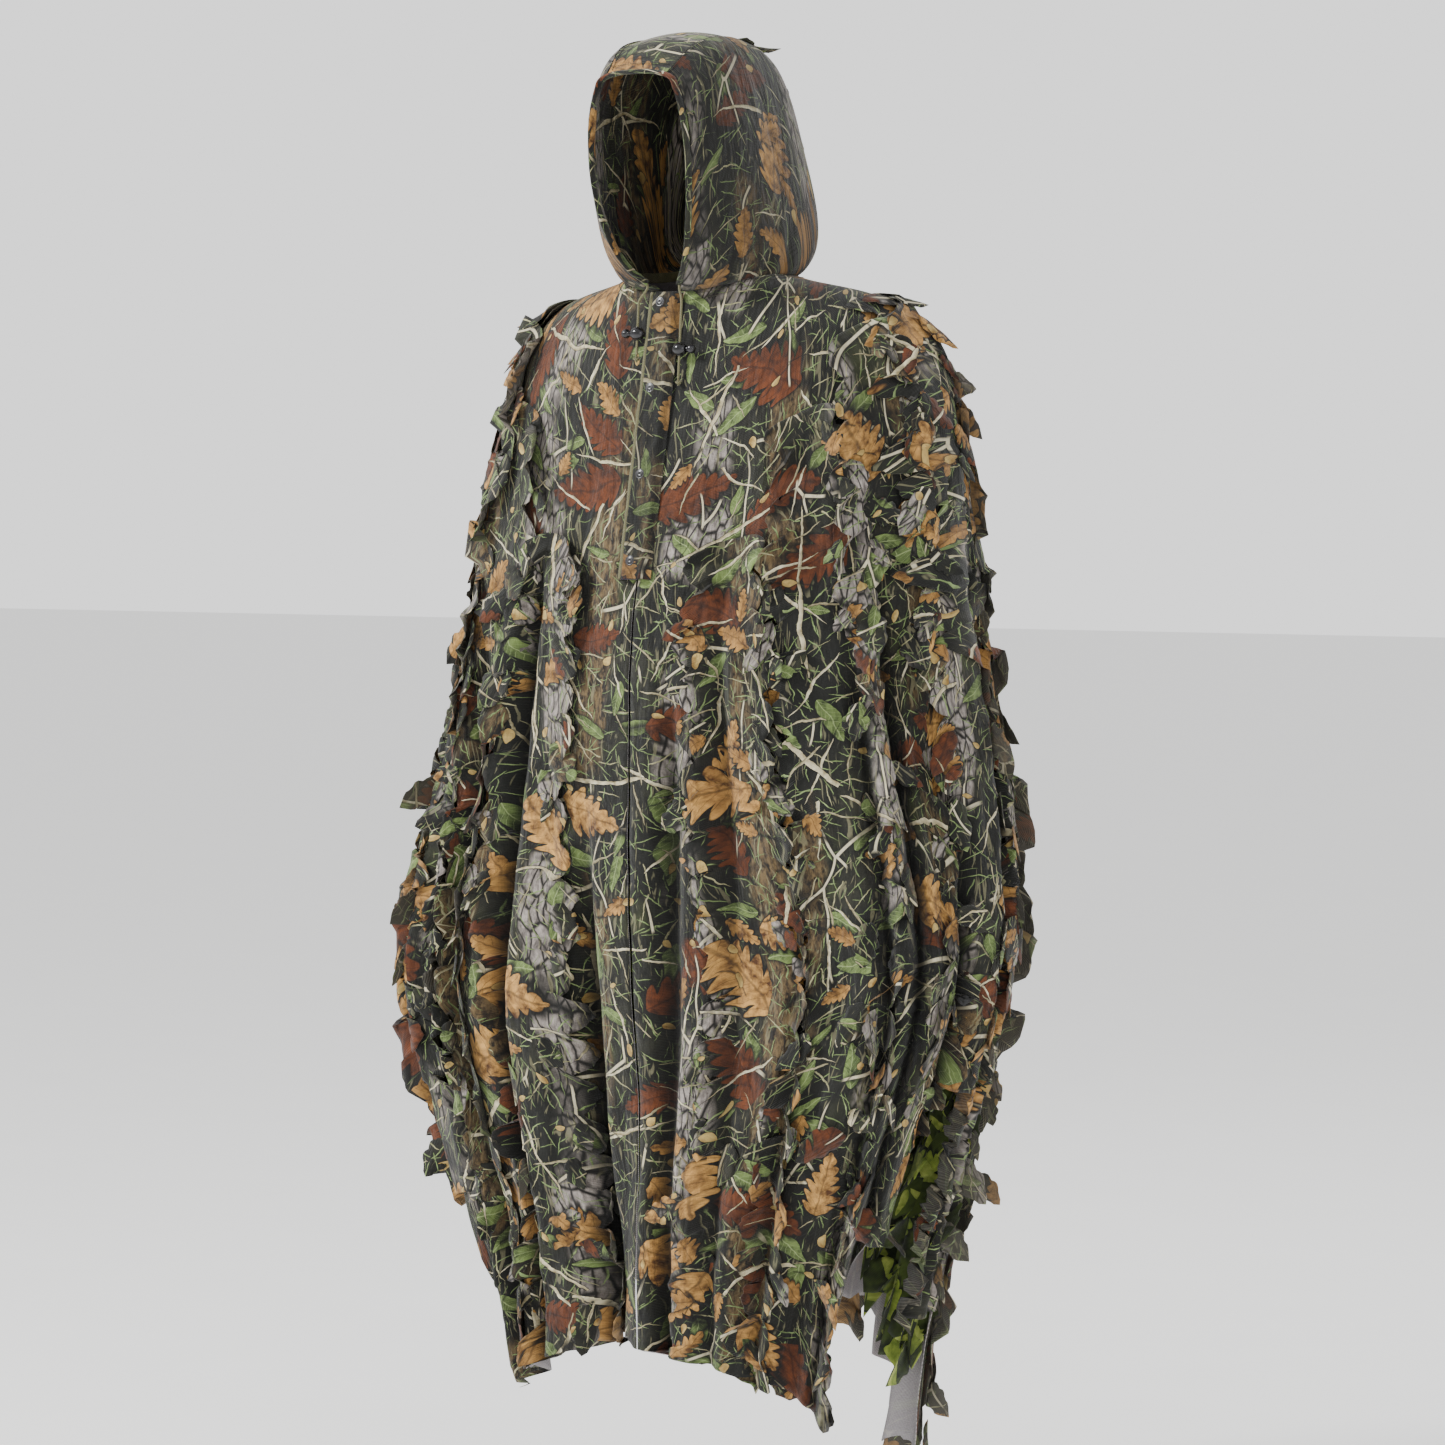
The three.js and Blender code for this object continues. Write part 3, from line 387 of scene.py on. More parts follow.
def make_woodland_print(scattered):
    """Bark, twigs, needles and fallen leaves printed on a dark ground."""
    group, given, end = new_group("woodland_print", [("Vector", "vector")], [("Color", "colour")])
    t = group
    at = given["Vector"]
    warp = vector_calc(t, "SUBTRACT", noise(t, at, 6.0, 2.0)["Color"], (0.5, 0.5, 0.5))
    bent = vector_calc(t, "ADD", at, scaled(t, warp, 0.07, 0.05, 0.0))

    cloudy = noise(t, at, 30.0, 4.0, 0.65)["Fac"]
    picture = blend(t, between(t, cloudy, 0.35, 0.72), colour("0f100c"), colour("2c2c20"))
    mossy = noise(t, at, 9.0, 3.0, 0.6)["Fac"]
    picture = blend(t, between(t, mossy, 0.52, 0.68), picture, colour("33381f"))

    # Upright trunks: grey plated bark and brown speckled bark.
    position = put(t, "ShaderNodeSeparateXYZ", {0: bent}).outputs
    band = calc(t, "FRACT", calc(t, "MULTIPLY", position[0], 4.3))
    grey_trunk = between(t, calc(t, "ABSOLUTE", calc(t, "SUBTRACT", band, 0.3)), 0.17, 0.12)
    brown_trunk = between(t, calc(t, "ABSOLUTE", calc(t, "SUBTRACT", band, 0.76)), 0.13, 0.09)
    plates = put(t, "ShaderNodeTexVoronoi", {"Vector": scaled(t, bent, 95.0, 34.0), "Scale": 1.0},
                 feature="DISTANCE_TO_EDGE", voronoi_dimensions="2D").outputs[0]
    fine = noise(t, scaled(t, at, 1.0, 0.35), 160.0, 4.0, 0.7)["Fac"]
    grey = blend(t, between(t, fine, 0.3, 0.7), colour("5a534f"), colour("b4aaa2"))
    grey = blend(t, between(t, plates, 0.16, 0.02), grey, colour("1d1a18"))
    brown = blend(t, between(t, fine, 0.35, 0.65), colour("2e2419"), colour("74603f"))
    dents = noise(t, scaled(t, at, 1.0, 0.5), 70.0, 3.0, 0.7)["Fac"]
    brown = blend(t, between(t, dents, 0.5, 0.62), brown, colour("16100b"))
    picture = blend(t, grey_trunk, picture, grey)
    picture = blend(t, brown_trunk, picture, brown)
    gone = noise(t, at, 5.0, 2.0)["Fac"]
    picture = blend(t, between(t, gone, 0.46, 0.56), picture, colour("10110c"))

    # Fine pale scratches of dry grass under everything.
    straw = noise(t, scaled(t, bent, 60.0, 9.0), 2.2, 2.0, 0.5, 1.5)["Fac"]
    picture = blend(t, between(t, straw, 0.60, 0.66, 0.0, 0.5), picture, colour("8c8868"))

    # spacing, length, width, lobes, share, seed, dark colour, light colour, vein colour, depth of shadow
    under = [
        (0.030, 0.0148, 0.0008, 0.0, 0.95, 1.3, "4d5e33", "8ea468", "8aa860", 0.1),
        (0.036, 0.0178, 0.0009, 0.0, 0.95, 4.1, "44542c", "a0b676", "9ab070", 0.1),
        (0.044, 0.0215, 0.0010, 0.0, 0.85, 13.1, "6b6a48", "c2bd90", "c2bd90", 0.1),
        (0.020, 0.0095, 0.0007, 0.0, 0.9, 19.1, "38452a", "93a86c", "8aa860", 0.1),
        (0.056, 0.027, 0.0110, 0.0, 0.45, 7.7, "2e3a1c", "7c9250", "b0c084", 0.8),
        (0.110, 0.052, 0.030, 3.2, 0.36, 11.9, "32170a", "6e3816", "200d05", 0.95),
    ]
    over = [
        (0.086, 0.042, 0.0019, 0.0, 0.80, 41.0, "8a7c56", "eee6c6", "d8cca4", 0.8),
        (0.160, 0.078, 0.0030, 0.0, 0.85, 47.0, "8a7c56", "e6dcb8", "cfc298", 0.85),
        (0.060, 0.029, 0.0014, 0.0, 0.70, 53.0, "6b6144", "c9bf98", "a89c74", 0.6),
        (0.112, 0.050, 0.034, 3.0, 0.28, 17.2, "4a2a0d", "dba75c", "33200c", 1.0),
        (0.064, 0.028, 0.015, 2.6, 0.24, 23.4, "4e3214", "c89650", "382210", 0.95),
        (0.046, 0.0070, 0.0054, 0.0, 0.30, 31.8, "8a6a34", "d8bc74", "b0935a", 0.8),
    ]

    def strew(picture, kinds):
        for spacing, length, width, lobes, share, seed, dark, light, line, depth in kinds:
            leaf = place_group(t, scattered, {
                "Vector": at, "Spacing": spacing, "Length": length, "Width": width,
                "Lobes": lobes, "Share": share, "Seed": seed,
            })
            body = blend(t, leaf["Shade"], colour(dark), colour(light))
            body = blend(t, calc(t, "MULTIPLY", leaf["Vein"], 0.55), body, colour(line))
            picture = blend(t, calc(t, "MULTIPLY", leaf["Shadow"], depth), picture, colour("0e0d0a"))
            picture = blend(t, leaf["Mask"], picture, body)
        return picture

    picture = strew(picture, under)

    # Cream twigs that fork.
    web = put(t, "ShaderNodeTexVoronoi", {"Vector": scaled(t, bent, 15.0, 8.0), "Scale": 1.0},
              feature="DISTANCE_TO_EDGE", voronoi_dimensions="2D").outputs[0]
    some = noise(t, at, 9.0, 1.0)["Fac"]
    twigs = calc(t, "MULTIPLY", between(t, web, 0.021, 0.012), between(t, some, 0.54, 0.57))
    rim = calc(t, "MULTIPLY", between(t, web, 0.075, 0.02), between(t, some, 0.54, 0.57))
    picture = blend(t, calc(t, "MULTIPLY", rim, 0.8), picture, colour("0e0d0a"))
    picture = blend(t, twigs, picture, blend(t, fine, colour("a89a72"), colour("efe8cc")))
    picture = strew(picture, over)
    t.links.new(picture, end.inputs["Color"])
    return group


def make_knit():
    """The knit of the mesh: ribs across the cloth and loops along them, as a height."""
    group, given, end = new_group("knit", [("Vector", "vector"), ("Pitch", "value")], [("Height", "value")])
    t = group
    flat = put(t, "ShaderNodeSeparateXYZ", {0: given["Vector"]}).outputs
    rate = calc(t, "DIVIDE", 6.283, given["Pitch"])
    rows = calc(t, "SINE", calc(t, "MULTIPLY", flat[1], rate))
    loops = calc(t, "SINE", calc(t, "MULTIPLY", flat[0], calc(t, "MULTIPLY", rate, 1.3)))
    fuzz = noise(t, given["Vector"], 900.0, 2.0)["Fac"]
    height = calc(t, "ADD", calc(t, "MULTIPLY", rows, 0.35), calc(t, "MULTIPLY", loops, 0.15))
    height = calc(t, "ADD", height, calc(t, "MULTIPLY", fuzz, 0.5))
    t.links.new(height, end.inputs["Height"])
    return group


def make_twill():
    """Slanting ribs of woven tape and of the cloth's wrong side, as a height."""
    group, given, end = new_group("twill", [("Vector", "vector"), ("Pitch", "value")], [("Height", "value")])
    t = group
    flat = put(t, "ShaderNodeSeparateXYZ", {0: given["Vector"]}).outputs
    slant = calc(t, "MULTIPLY_ADD", flat[0], 1.4, flat[1])
    ribs = calc(t, "SINE", calc(t, "MULTIPLY", slant, calc(t, "DIVIDE", 6.283, given["Pitch"])))
    fuzz = noise(t, given["Vector"], 700.0, 2.0)["Fac"]
    t.links.new(calc(t, "MULTIPLY_ADD", ribs, 0.4, fuzz), end.inputs["Height"])
    return group


def make_crumple():
    """Creases of limp cloth, mostly upright, as a height."""
    group, given, end = new_group("crumple", [("Vector", "vector")], [("Height", "value")])
    t = group
    long = noise(t, scaled(t, given["Vector"], 34.0, 9.0), 1.0, 3.0, 0.6, 0.6)["Fac"]
    small = noise(t, scaled(t, given["Vector"], 90.0, 50.0), 1.0, 3.0, 0.6, 0.3)["Fac"]
    t.links.new(calc(t, "MULTIPLY_ADD", small, 0.3, long), end.inputs["Height"])
    return group


crumple = make_crumple()
scattered_leaf = make_scattered_leaf()
woodland_print = make_woodland_print(scattered_leaf)
knit = make_knit()
twill = make_twill()

# ---------------------------------------------------------------- materials


def new_material(name, **values):
    """A material and its shader, with the values that are the same all over."""
    material = bpy.data.materials.new(name)
    material.use_nodes = True
    shader = material.node_tree.nodes["Principled BSDF"]
    for title, value in values.items():
        shader.inputs[title.replace("_", " ")].default_value = value
    return material, material.node_tree, shader


def cloth_map(tree):
    return put(tree, "ShaderNodeUVMap", uv_map="cloth").outputs[0]


def raise_surface(tree, shader, height, distance, strength=1.0):
    bump = put(tree, "ShaderNodeBump", {"Height": height, "Distance": distance, "Strength": strength})
    tree.links.new(bump.outputs[0], shader.inputs["Normal"])


def printed_cloth(name, pitch, tint=None, strength=0.0):
    material, tree, shader = new_material(name, Roughness=0.9, Sheen_Weight=0.12, Sheen_Roughness=0.5)
    flat = cloth_map(tree)
    picture = place_group(tree, woodland_print, {"Vector": flat})["Color"]
    # A tint blends the whole print towards one colour; the inner faces' copy uses it for painted shade.
    if tint:
        picture = blend(tree, strength, picture, colour(tint))
    faded = noise(tree, flat, 14.0, 3.0)["Fac"]
    picture = blend(tree, 0.35, picture, put(tree, "ShaderNodeCombineColor", {
        0: faded, 1: faded, 2: faded}).outputs[0], "SOFT_LIGHT")
    # Painted shade: the print is darkened towards near-black down in the pleats, by their depth.
    sunk_and_painted_shade = put(tree, "ShaderNodeAttribute", attribute_name="sunk_and_painted_shade").outputs["Fac"]
    picture = blend(tree, between(tree, sunk_and_painted_shade, 0.15, 0.9, 0.0, 0.86), picture, colour("070706"))
    tree.links.new(picture, shader.inputs["Base Color"])
    loops = place_group(tree, knit, {"Vector": flat, "Pitch": pitch})["Height"]
    creases = place_group(tree, crumple, {"Vector": flat})["Height"]
    raise_surface(tree, shader, calc(tree, "MULTIPLY_ADD", loops, 0.05, creases), 0.010, 0.9)
    return material


def wrong_side_cloth(name, light, dark, show_through):
    material, tree, shader = new_material(name, Roughness=0.95, Sheen_Weight=0.1)
    flat = cloth_map(tree)
    ribs = place_group(tree, twill, {"Vector": flat, "Pitch": 0.0024})["Height"]
    through_print = place_group(tree, woodland_print, {"Vector": flat})["Color"]
    ground = blend(tree, between(tree, ribs, 0.2, 0.9), colour(dark), colour(light))
    ground = blend(tree, show_through, ground, through_print)
    tree.links.new(ground, shader.inputs["Base Color"])
    raise_surface(tree, shader, ribs, 0.0006, 0.9)
    return material


def lime_cloth(name):
    material, tree, shader = new_material(name, Roughness=0.9, Sheen_Weight=0.12)
    flat = cloth_map(tree)
    broad = place_group(tree, scattered_leaf, {
        "Vector": flat, "Spacing": 0.085, "Length": 0.042, "Width": 0.03,
        "Lobes": 2.4, "Share": 0.9, "Seed": 3.0,
    })
    narrow = place_group(tree, scattered_leaf, {
        "Vector": flat, "Spacing": 0.05, "Length": 0.024, "Width": 0.009,
        "Lobes": 0.0, "Share": 0.8, "Seed": 9.0,
    })
    patch = noise(tree, flat, 18.0, 3.0, 0.6)["Fac"]
    picture = blend(tree, between(tree, patch, 0.4, 0.6), colour("232c12"), colour("4a5a22"))
    picture = blend(tree, broad["Shadow"], picture, colour("12180a"))
    broad_leaf = blend(tree, broad["Shade"], colour("5c7226"), colour("a3b548"))
    picture = blend(tree, broad["Mask"], picture, broad_leaf)
    narrow_leaf = blend(tree, narrow["Shade"], colour("6f8430"), colour("bcc662"))
    picture = blend(tree, narrow["Mask"], picture, narrow_leaf)
    tree.links.new(picture, shader.inputs["Base Color"])
    height = place_group(tree, knit, {"Vector": flat, "Pitch": 0.0016})["Height"]
    raise_surface(tree, shader, height, 0.0005, 0.8)
    return material


def woven_tape(name, dark, light, pitch):
    material, tree, shader = new_material(name, Roughness=0.8, Sheen_Weight=0.15)
    flat = cloth_map(tree)
    ribs = place_group(tree, twill, {"Vector": flat, "Pitch": pitch})["Height"]
    worn = noise(tree, flat, 60.0, 3.0)["Fac"]
    ground = blend(tree, between(tree, ribs, 0.1, 0.9), colour(dark), colour(light))
    ground = blend(tree, between(tree, worn, 0.55, 0.8), ground, colour(light))
    tree.links.new(ground, shader.inputs["Base Color"])
    raise_surface(tree, shader, ribs, 0.0004, 0.9)
    return material


def braided_cord(name, dark, light):
    material, tree, shader = new_material(name, Roughness=0.7, Sheen_Weight=0.2)
    flat = cloth_map(tree)
    spot = put(tree, "ShaderNodeSeparateXYZ", {0: flat}).outputs
    one = calc(tree, "SINE", calc(tree, "MULTIPLY", calc(tree, "ADD", spot[1], spot[0]), 3100.0))
    other = calc(tree, "SINE", calc(tree, "MULTIPLY", calc(tree, "SUBTRACT", spot[1], spot[0]), 3100.0))
    strands = calc(tree, "MAXIMUM", one, other)
    fleck = noise(tree, flat, 500.0, 2.0)["Fac"]
    ground = blend(tree, between(tree, strands, -0.3, 1.0), colour(dark), colour(light))
    ground = blend(tree, between(tree, fleck, 0.5, 0.8, 0.0, 0.5), ground, colour("a8a37c"))
    tree.links.new(ground, shader.inputs["Base Color"])
    raise_surface(tree, shader, strands, 0.0002, 0.8)
    return material


def moulded_plastic(name, ground, rough):
    material, tree, shader = new_material(
        name, Base_Color=colour(ground), Coat_Weight=0.3, Coat_Roughness=0.1,
    )
    place = put(tree, "ShaderNodeTexCoord").outputs["Object"]
    smudge = noise(tree, place, 260.0, 4.0, 0.6)["Fac"]
    grain = noise(tree, place, 2600.0, 2.0)["Fac"]
    tint = blend(tree, between(tree, smudge, 0.4, 0.7), colour(ground), colour("26242a"))
    tree.links.new(tint, shader.inputs["Base Color"])
    tree.links.new(between(tree, smudge, 0.3, 0.7, rough, rough + 0.14), shader.inputs["Roughness"])
    raise_surface(tree, shader, grain, 0.00006, 0.4)
    return material


def spring_wire(name):
    material, tree, shader = new_material(name, Metallic=1.0)
    place = put(tree, "ShaderNodeTexCoord").outputs["Object"]
    drawn = noise(tree, scaled(tree, place, 1.0, 1.0, 6.0), 1500.0, 2.0)["Fac"]
    tree.links.new(blend(tree, drawn, colour("8a8a88"), colour("c2c2c0")), shader.inputs["Base Color"])
    tree.links.new(between(tree, drawn, 0.3, 0.7, 0.22, 0.4), shader.inputs["Roughness"])
    return material


camouflage = printed_cloth("camouflage_mesh", 0.0019)
leaf_cloth = printed_cloth("leaf_cut_cloth", 0.0017)
# Painted shade: the inner faces of the hood and the placket flap take the print darkened 45% towards
# near-black.
painted_shade_print = printed_cloth("print_darkened_as_painted_shade", 0.0019, "0c0b09", 0.45)
wrong_side = wrong_side_cloth("wrong_side", "c6c0c2", "8d888a", 0.16)
leaf_back = wrong_side_cloth("leaf_wrong_side", "8a8478", "5c584e", 0.62)
lime = lime_cloth("lime_leaf_cloth")
olive_tape = woven_tape("olive_tape", "4c4a2e", "86825a", 0.0012)
plum_tape = woven_tape("plum_tape", "1d1422", "43304c", 0.0013)
olive_cord = braided_cord("olive_cord", "37351f", "7c7850")
thread = woven_tape("sewing_thread", "2c2b1c", "5a563a", 0.0006)
black_plastic = moulded_plastic("black_plastic", "0b0b0c", 0.14)
black_snap = moulded_plastic("black_snap", "0d0c0e", 0.3)
spring_steel = spring_wire("spring_steel")

# ---------------------------------------------------------------- the drape of the body cloth

# Three ribs run from the neck seam to the hem, as in the frame's own panels.
# Stations: neck, shoulder, chest, ribs, waist, hip, wrist, hand, thigh, knee, shin.
NECK_HALF_WIDTH = 0.098
NECK_FRONT = -0.062
NECK_MIDDLE = 0.026
NECK_BACK = 0.106
NECK_SIDE_RISE = 0.020
NECK_BACK_RISE = 0.030
SHOULDER_HALF_WIDTH = 0.234
SHOULDER_DROP = 0.020
HAND_HALF_WIDTH = 0.412
HEM_HALF_WIDTH = 0.280
HAND_DROP = 0.830
CHEST_DEPTH = 0.073
PLACKET_DROP = 0.340
FRONT_LENGTH = 1.250
BACK_LENGTH = 1.380
SQUARENESS = 0.86
SIDE_HEM_SHARE = 0.74
CENTRE_HEM_SHARE = 0.905
CORNER_ANGLE = 42
BACK_CORNER_ANGLE = 108
ROWS = 16
CLOTH = 0.002

lean = CHEST_DEPTH / PLACKET_DROP
WAIST_DROP = PLACKET_DROP + 0.113
belly = NECK_FRONT - CHEST_DEPTH
FRONT_RIB = [
    (0, NECK_FRONT, 0),
    (0, NECK_FRONT - CHEST_DEPTH / 3, -PLACKET_DROP / 3),
    (0, NECK_FRONT - CHEST_DEPTH * 2 / 3, -PLACKET_DROP * 2 / 3),
    (0, belly, -PLACKET_DROP),
    (0, belly - 0.016, -WAIST_DROP),
] + [(0, belly - 0.020 + 0.002 * i, -mix(WAIST_DROP, FRONT_LENGTH, i / 6)) for i in range(1, 7)]
SIDE_RIB = [
    (NECK_HALF_WIDTH, NECK_MIDDLE, NECK_SIDE_RISE),
    (SHOULDER_HALF_WIDTH, 0.072, -SHOULDER_DROP),
] + [
    (mix(SHOULDER_HALF_WIDTH, HAND_HALF_WIDTH, out), back, -HAND_DROP * down)
    for out, back, down in [(0.32, 0.086, 0.15), (0.50, 0.086, 0.32), (0.62, 0.082, 0.49),
                            (0.78, 0.066, 0.66), (0.94, 0.040, 0.84), (1, 0, 1)]
] + [
    (mix(HAND_HALF_WIDTH, HEM_HALF_WIDTH, out), 0, -mix(HAND_DROP, BACK_LENGTH, down))
    for out, down in [(0.4, 0.33), (0.8, 0.66), (1, 1)]
]
BACK_RIB = [
    (0, NECK_BACK, NECK_BACK_RISE),
    (0, NECK_BACK + 0.012, -0.060),
    (0, NECK_BACK + 0.026, -0.170),
    (0, NECK_BACK + 0.034, -0.300),
    (0, NECK_BACK + 0.038, -0.430),
] + [
    (0, NECK_BACK + out, -mix(0.430, BACK_LENGTH, i / 6))
    for i, out in enumerate([0.041, 0.042, 0.042, 0.041, 0.039, 0.037], 1)
]


def drape(angle, share):
    """Points of the drape. Angle: 0 at the front, 90 at the left arm, 180 at the back, 270 at the right."""
    angle, share = np.broadcast_arrays(np.asarray(angle, float), np.asarray(share, float))
    side = through(SIDE_RIB, share)
    in_front = (np.cos(np.radians(angle)) >= 0)[..., None]
    middle = np.where(in_front, through(FRONT_RIB, share), through(BACK_RIB, share))
    outward = np.sin(np.radians(angle))
    forward = np.abs(np.cos(np.radians(angle)))
    x = side[..., 0] * np.sign(outward) * np.abs(outward) ** SQUARENESS
    y = mix(side[..., 1], middle[..., 1], forward ** SQUARENESS)
    z = mix(middle[..., 2], side[..., 2], outward ** 2)
    return np.stack([x, y, z], -1)


def drape_normal(angle, share):
    around = drape(angle + 4, share) - drape(angle - 4, share)
    down = drape(angle, np.minimum(share + 0.01, 1)) - drape(angle, np.maximum(share - 0.01, 0))
    return unit(np.cross(down, around))


def hem_share(angle):
    """How far down its rib the cloth reaches: long in front and behind, short over the arms."""
    a = np.abs((np.asarray(angle, float) + 180) % 360 - 180)
    front = mix(1, SIDE_HEM_SHARE, ease(a, CORNER_ANGLE, 74))
    flank = mix(SIDE_HEM_SHARE, 1, ease(a, 90, BACK_CORNER_ANGLE))
    back = mix(1, CENTRE_HEM_SHARE, ease(a, BACK_CORNER_ANGLE + 4, 150))
    return np.where(a <= 90, front, np.where(a <= BACK_CORNER_ANGLE, flank, back))


PLEATS = 26                       # narrow gathers around the whole cloth
PLEAT_DEPTH = 0.045
PLEAT_HALF_WIDTH = 2.0            # in degrees around the drape


def pleats(angle, share):
    """Narrow gathers that open below the chest and swing a little from side to side as they fall."""
    sunk_and_painted_shade = np.zeros(np.broadcast(angle, share).shape)
    for number in range(PLEATS):
        at = 360 / PLEATS * number + 3.5 * math.sin(2.3 * number + 1.0) + 2.5
        starts = 0.34 + 0.13 * math.sin(4.1 * number)
        strength = 0.7 + 0.3 * math.sin(5.3 * number)
        swing = 1.1 * np.sin(6 * share + number)
        away = (angle - at - swing + 180) % 360 - 180
        sunk_and_painted_shade = sunk_and_painted_shade + strength * np.exp(-(away / PLEAT_HALF_WIDTH) ** 2) * ease(share, starts, starts + 0.22)
    return -PLEAT_DEPTH * np.minimum(sunk_and_painted_shade, 1.1)


def painted_shade_in_pleats(angle, share):
    """How deep a place lies in the gathers, used as painted shade: 0 on the open cloth and 1 at the bottom of
    a pleat.
    """
    return np.clip(-pleats(angle, share) / PLEAT_DEPTH * 1.25, 0, 1)


LOCK_PRESS = 0.0012               # how far the cord locks press the cloth in beside the throat


def pressed_in(angle, share):
    beside = 1 - ease(np.abs((angle + 180) % 360 - 180), 14, 24)
    return LOCK_PRESS * beside * ease(share, 0.02, 0.05) * (1 - ease(share, 0.10, 0.16))


def folds(angle, share):
    """How far the cloth stands out of the plain drape, in folds that deepen towards the hem."""
    turn = np.radians(angle)
    deep = 0.003 + 0.010 * ease(share, 0.1, 0.35) + 0.020 * ease(share, 0.35, 0.85)
    upright = (
        np.sin(9 * turn + 1.2 * np.sin(5.0 * share) + 0.7)
        + 0.55 * np.sin(14 * turn - 2.1 * share + 2.0)
        + 0.35 * np.sin(23 * turn + 3.0 * np.sin(7.0 * share))
    )
    slack = 0.35 * np.sin(4 * turn + 14 * share) + 0.3 * np.sin(7 * turn - 21 * share + 1.0)
    raised = (upright + slack) / 2.0
    small = 0.0012 * np.sin(47 * turn + 60 * share) * np.sin(5 * turn - 33 * share)
    calm = ease(share, 0.09, 0.2)
    waves = calm * (deep * (np.where(raised > 0, 0.3, 1.05) * raised - 0.1) + small)
    return waves + pleats(angle, share) - pressed_in(angle, share)


BOX_MARGIN = 0.004                # cloth may reach this far out of the frame's own box before it is held back
HOLD_BACK = 0.25


def held_in(points):
    """Presses cloth that would stand far out of the frame's box back towards it."""
    low = np.array(cad_low) - BOX_MARGIN
    high = np.array(cad_high) + BOX_MARGIN
    inside = np.clip(points, low, high)
    return inside + (points - inside) * HOLD_BACK


def cloth_point(angle, share, stand_off=0.0):
    lift = CLOTH + folds(angle, share) + stand_off
    return held_in(drape(angle, share) + drape_normal(angle, share) * np.asarray(lift)[..., None])


RIGHT_CORNER_SHARE = 0.865


def hung_share(angle):
    """The hem as it hangs: the back's right corner is caught up behind the right arm."""
    around = np.asarray(angle, float) % 360
    caught = mix(1, RIGHT_CORNER_SHARE, ease(around, 195, 225))
    return np.where(around < 270, np.minimum(hem_share(around), caught), hem_share(around))


def hem_wave(angle, seed):
    turn = np.radians(angle)
    steps = np.round(2 * np.sin(11 * turn + seed)) / 2
    return 0.009 * np.sin(6 * turn + seed) + 0.006 * steps + 0.005 * np.sin(31 * turn)


# ---------------------------------------------------------------- body panels


def body_panel(name, from_angle, to_angle, columns, rows, held):
    angle, down = grid((from_angle, to_angle), (0, 1), columns, rows)
    share = down * (hung_share(angle) + hem_wave(angle, 0.4) * down ** 3)
    plain = drape(angle, share)
    points = cloth_point(angle, share)
    pile = Pile()
    flat = metric(plain)
    middle = np.argmin(np.abs(angle[0] - (0 if held == "front" else 180)))
    flat[..., 0] -= flat[:, middle:middle + 1, 0]
    pile.add(points, flat, flip=True, depth=painted_shade_in_pleats(angle, share))
    thing = pile.build(name, [camouflage, wrong_side], thickness=0.0009)
    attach(thing, "body_cloth")
    return thing


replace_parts(body_panel("front_left_mesh", 0.1, 90, 170, 190, "front"), "front_panel_left")
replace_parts(body_panel("front_right_mesh", -90, -0.1, 170, 190, "front"), "front_panel_right")
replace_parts(body_panel("back_mesh", 90, 270, 330, 190, "back"), "back_panel")

# ---------------------------------------------------------------- leaf-cut cloth

LEAF_PITCH = 0.048                # length of one leaf along the edge of a strip
LEAF_DEPTH = 0.026                # how far its tip stands out past the notches


def leaf_edge(length, rng, phase):
    """The leaf-cut edge at a length down a strip: how far it stands out, its droop and its curl."""
    place = length / LEAF_PITCH + phase
    number = np.floor(place).astype(int)
    along = place - number
    table = rng.uniform(0, 1, (int(number.max()) + 2, 3))
    pick = table[number]
    body = np.sin(math.pi * along ** 0.8) ** 0.5
    teeth = 0.16 * np.abs(np.sin(3 * math.pi * along)) * np.sin(math.pi * along)
    tip = (0.55 + 0.6 * pick[..., 0]) * body + teeth
    return tip, pick[..., 1], pick[..., 2]


def leaf_half_width(x, lobes):
    """The outline of one leaf from its stalk at 0 to its tip at 1, as a share of its width."""
    swell = np.clip(np.sin(math.pi * np.clip(x, 0, 1) ** 0.85), 0, 1) ** 0.65
    return np.maximum(swell * (0.72 + 0.34 * np.abs(np.sin(lobes * math.pi * x))), 0.02)


def add_leaf(pile, base, down, aside, normal, length, width, lobes, curl, roll, flat_at, flip=False):
    """A loose leaf of cloth, held at its stalk and curling away from the strip."""
    x, y = grid((0, 1), (-1, 1), 12, 6)
    half = leaf_half_width(x, lobes) * width
    side = half * y + 0.08 * length * np.sin(math.pi * x) * roll
    lift = 0.0025 + curl * x ** 1.7 + roll * 0.35 * half * y - 0.25 * half * np.abs(y) ** 2
    points = (
        base + down * (x * length * (1 - 0.12 * x * curl / 0.02))[..., None]
        + aside * side[..., None] + normal * lift[..., None]
    )
    flat = np.stack([flat_at[0] + side, flat_at[1] - x * length], -1)
    pile.add(held_in(points), flat, flip=flip)


def strip_frame(angle, share):
    """Metres to the degree across the drape, and the three directions of the cloth there."""
    ahead = cloth_point(angle + 1, share)
    behind = cloth_point(angle - 1, share)
    below = cloth_point(angle, np.minimum(share + 0.01, 1.0))
    above = cloth_point(angle, np.maximum(share - 0.01, 0.0))
    aside = ahead - behind
    down = unit(below - above)
    per_degree = np.linalg.norm(aside, axis=-1) / 2
    aside = unit(aside)
    return per_degree, down, aside, unit(np.cross(down, aside))


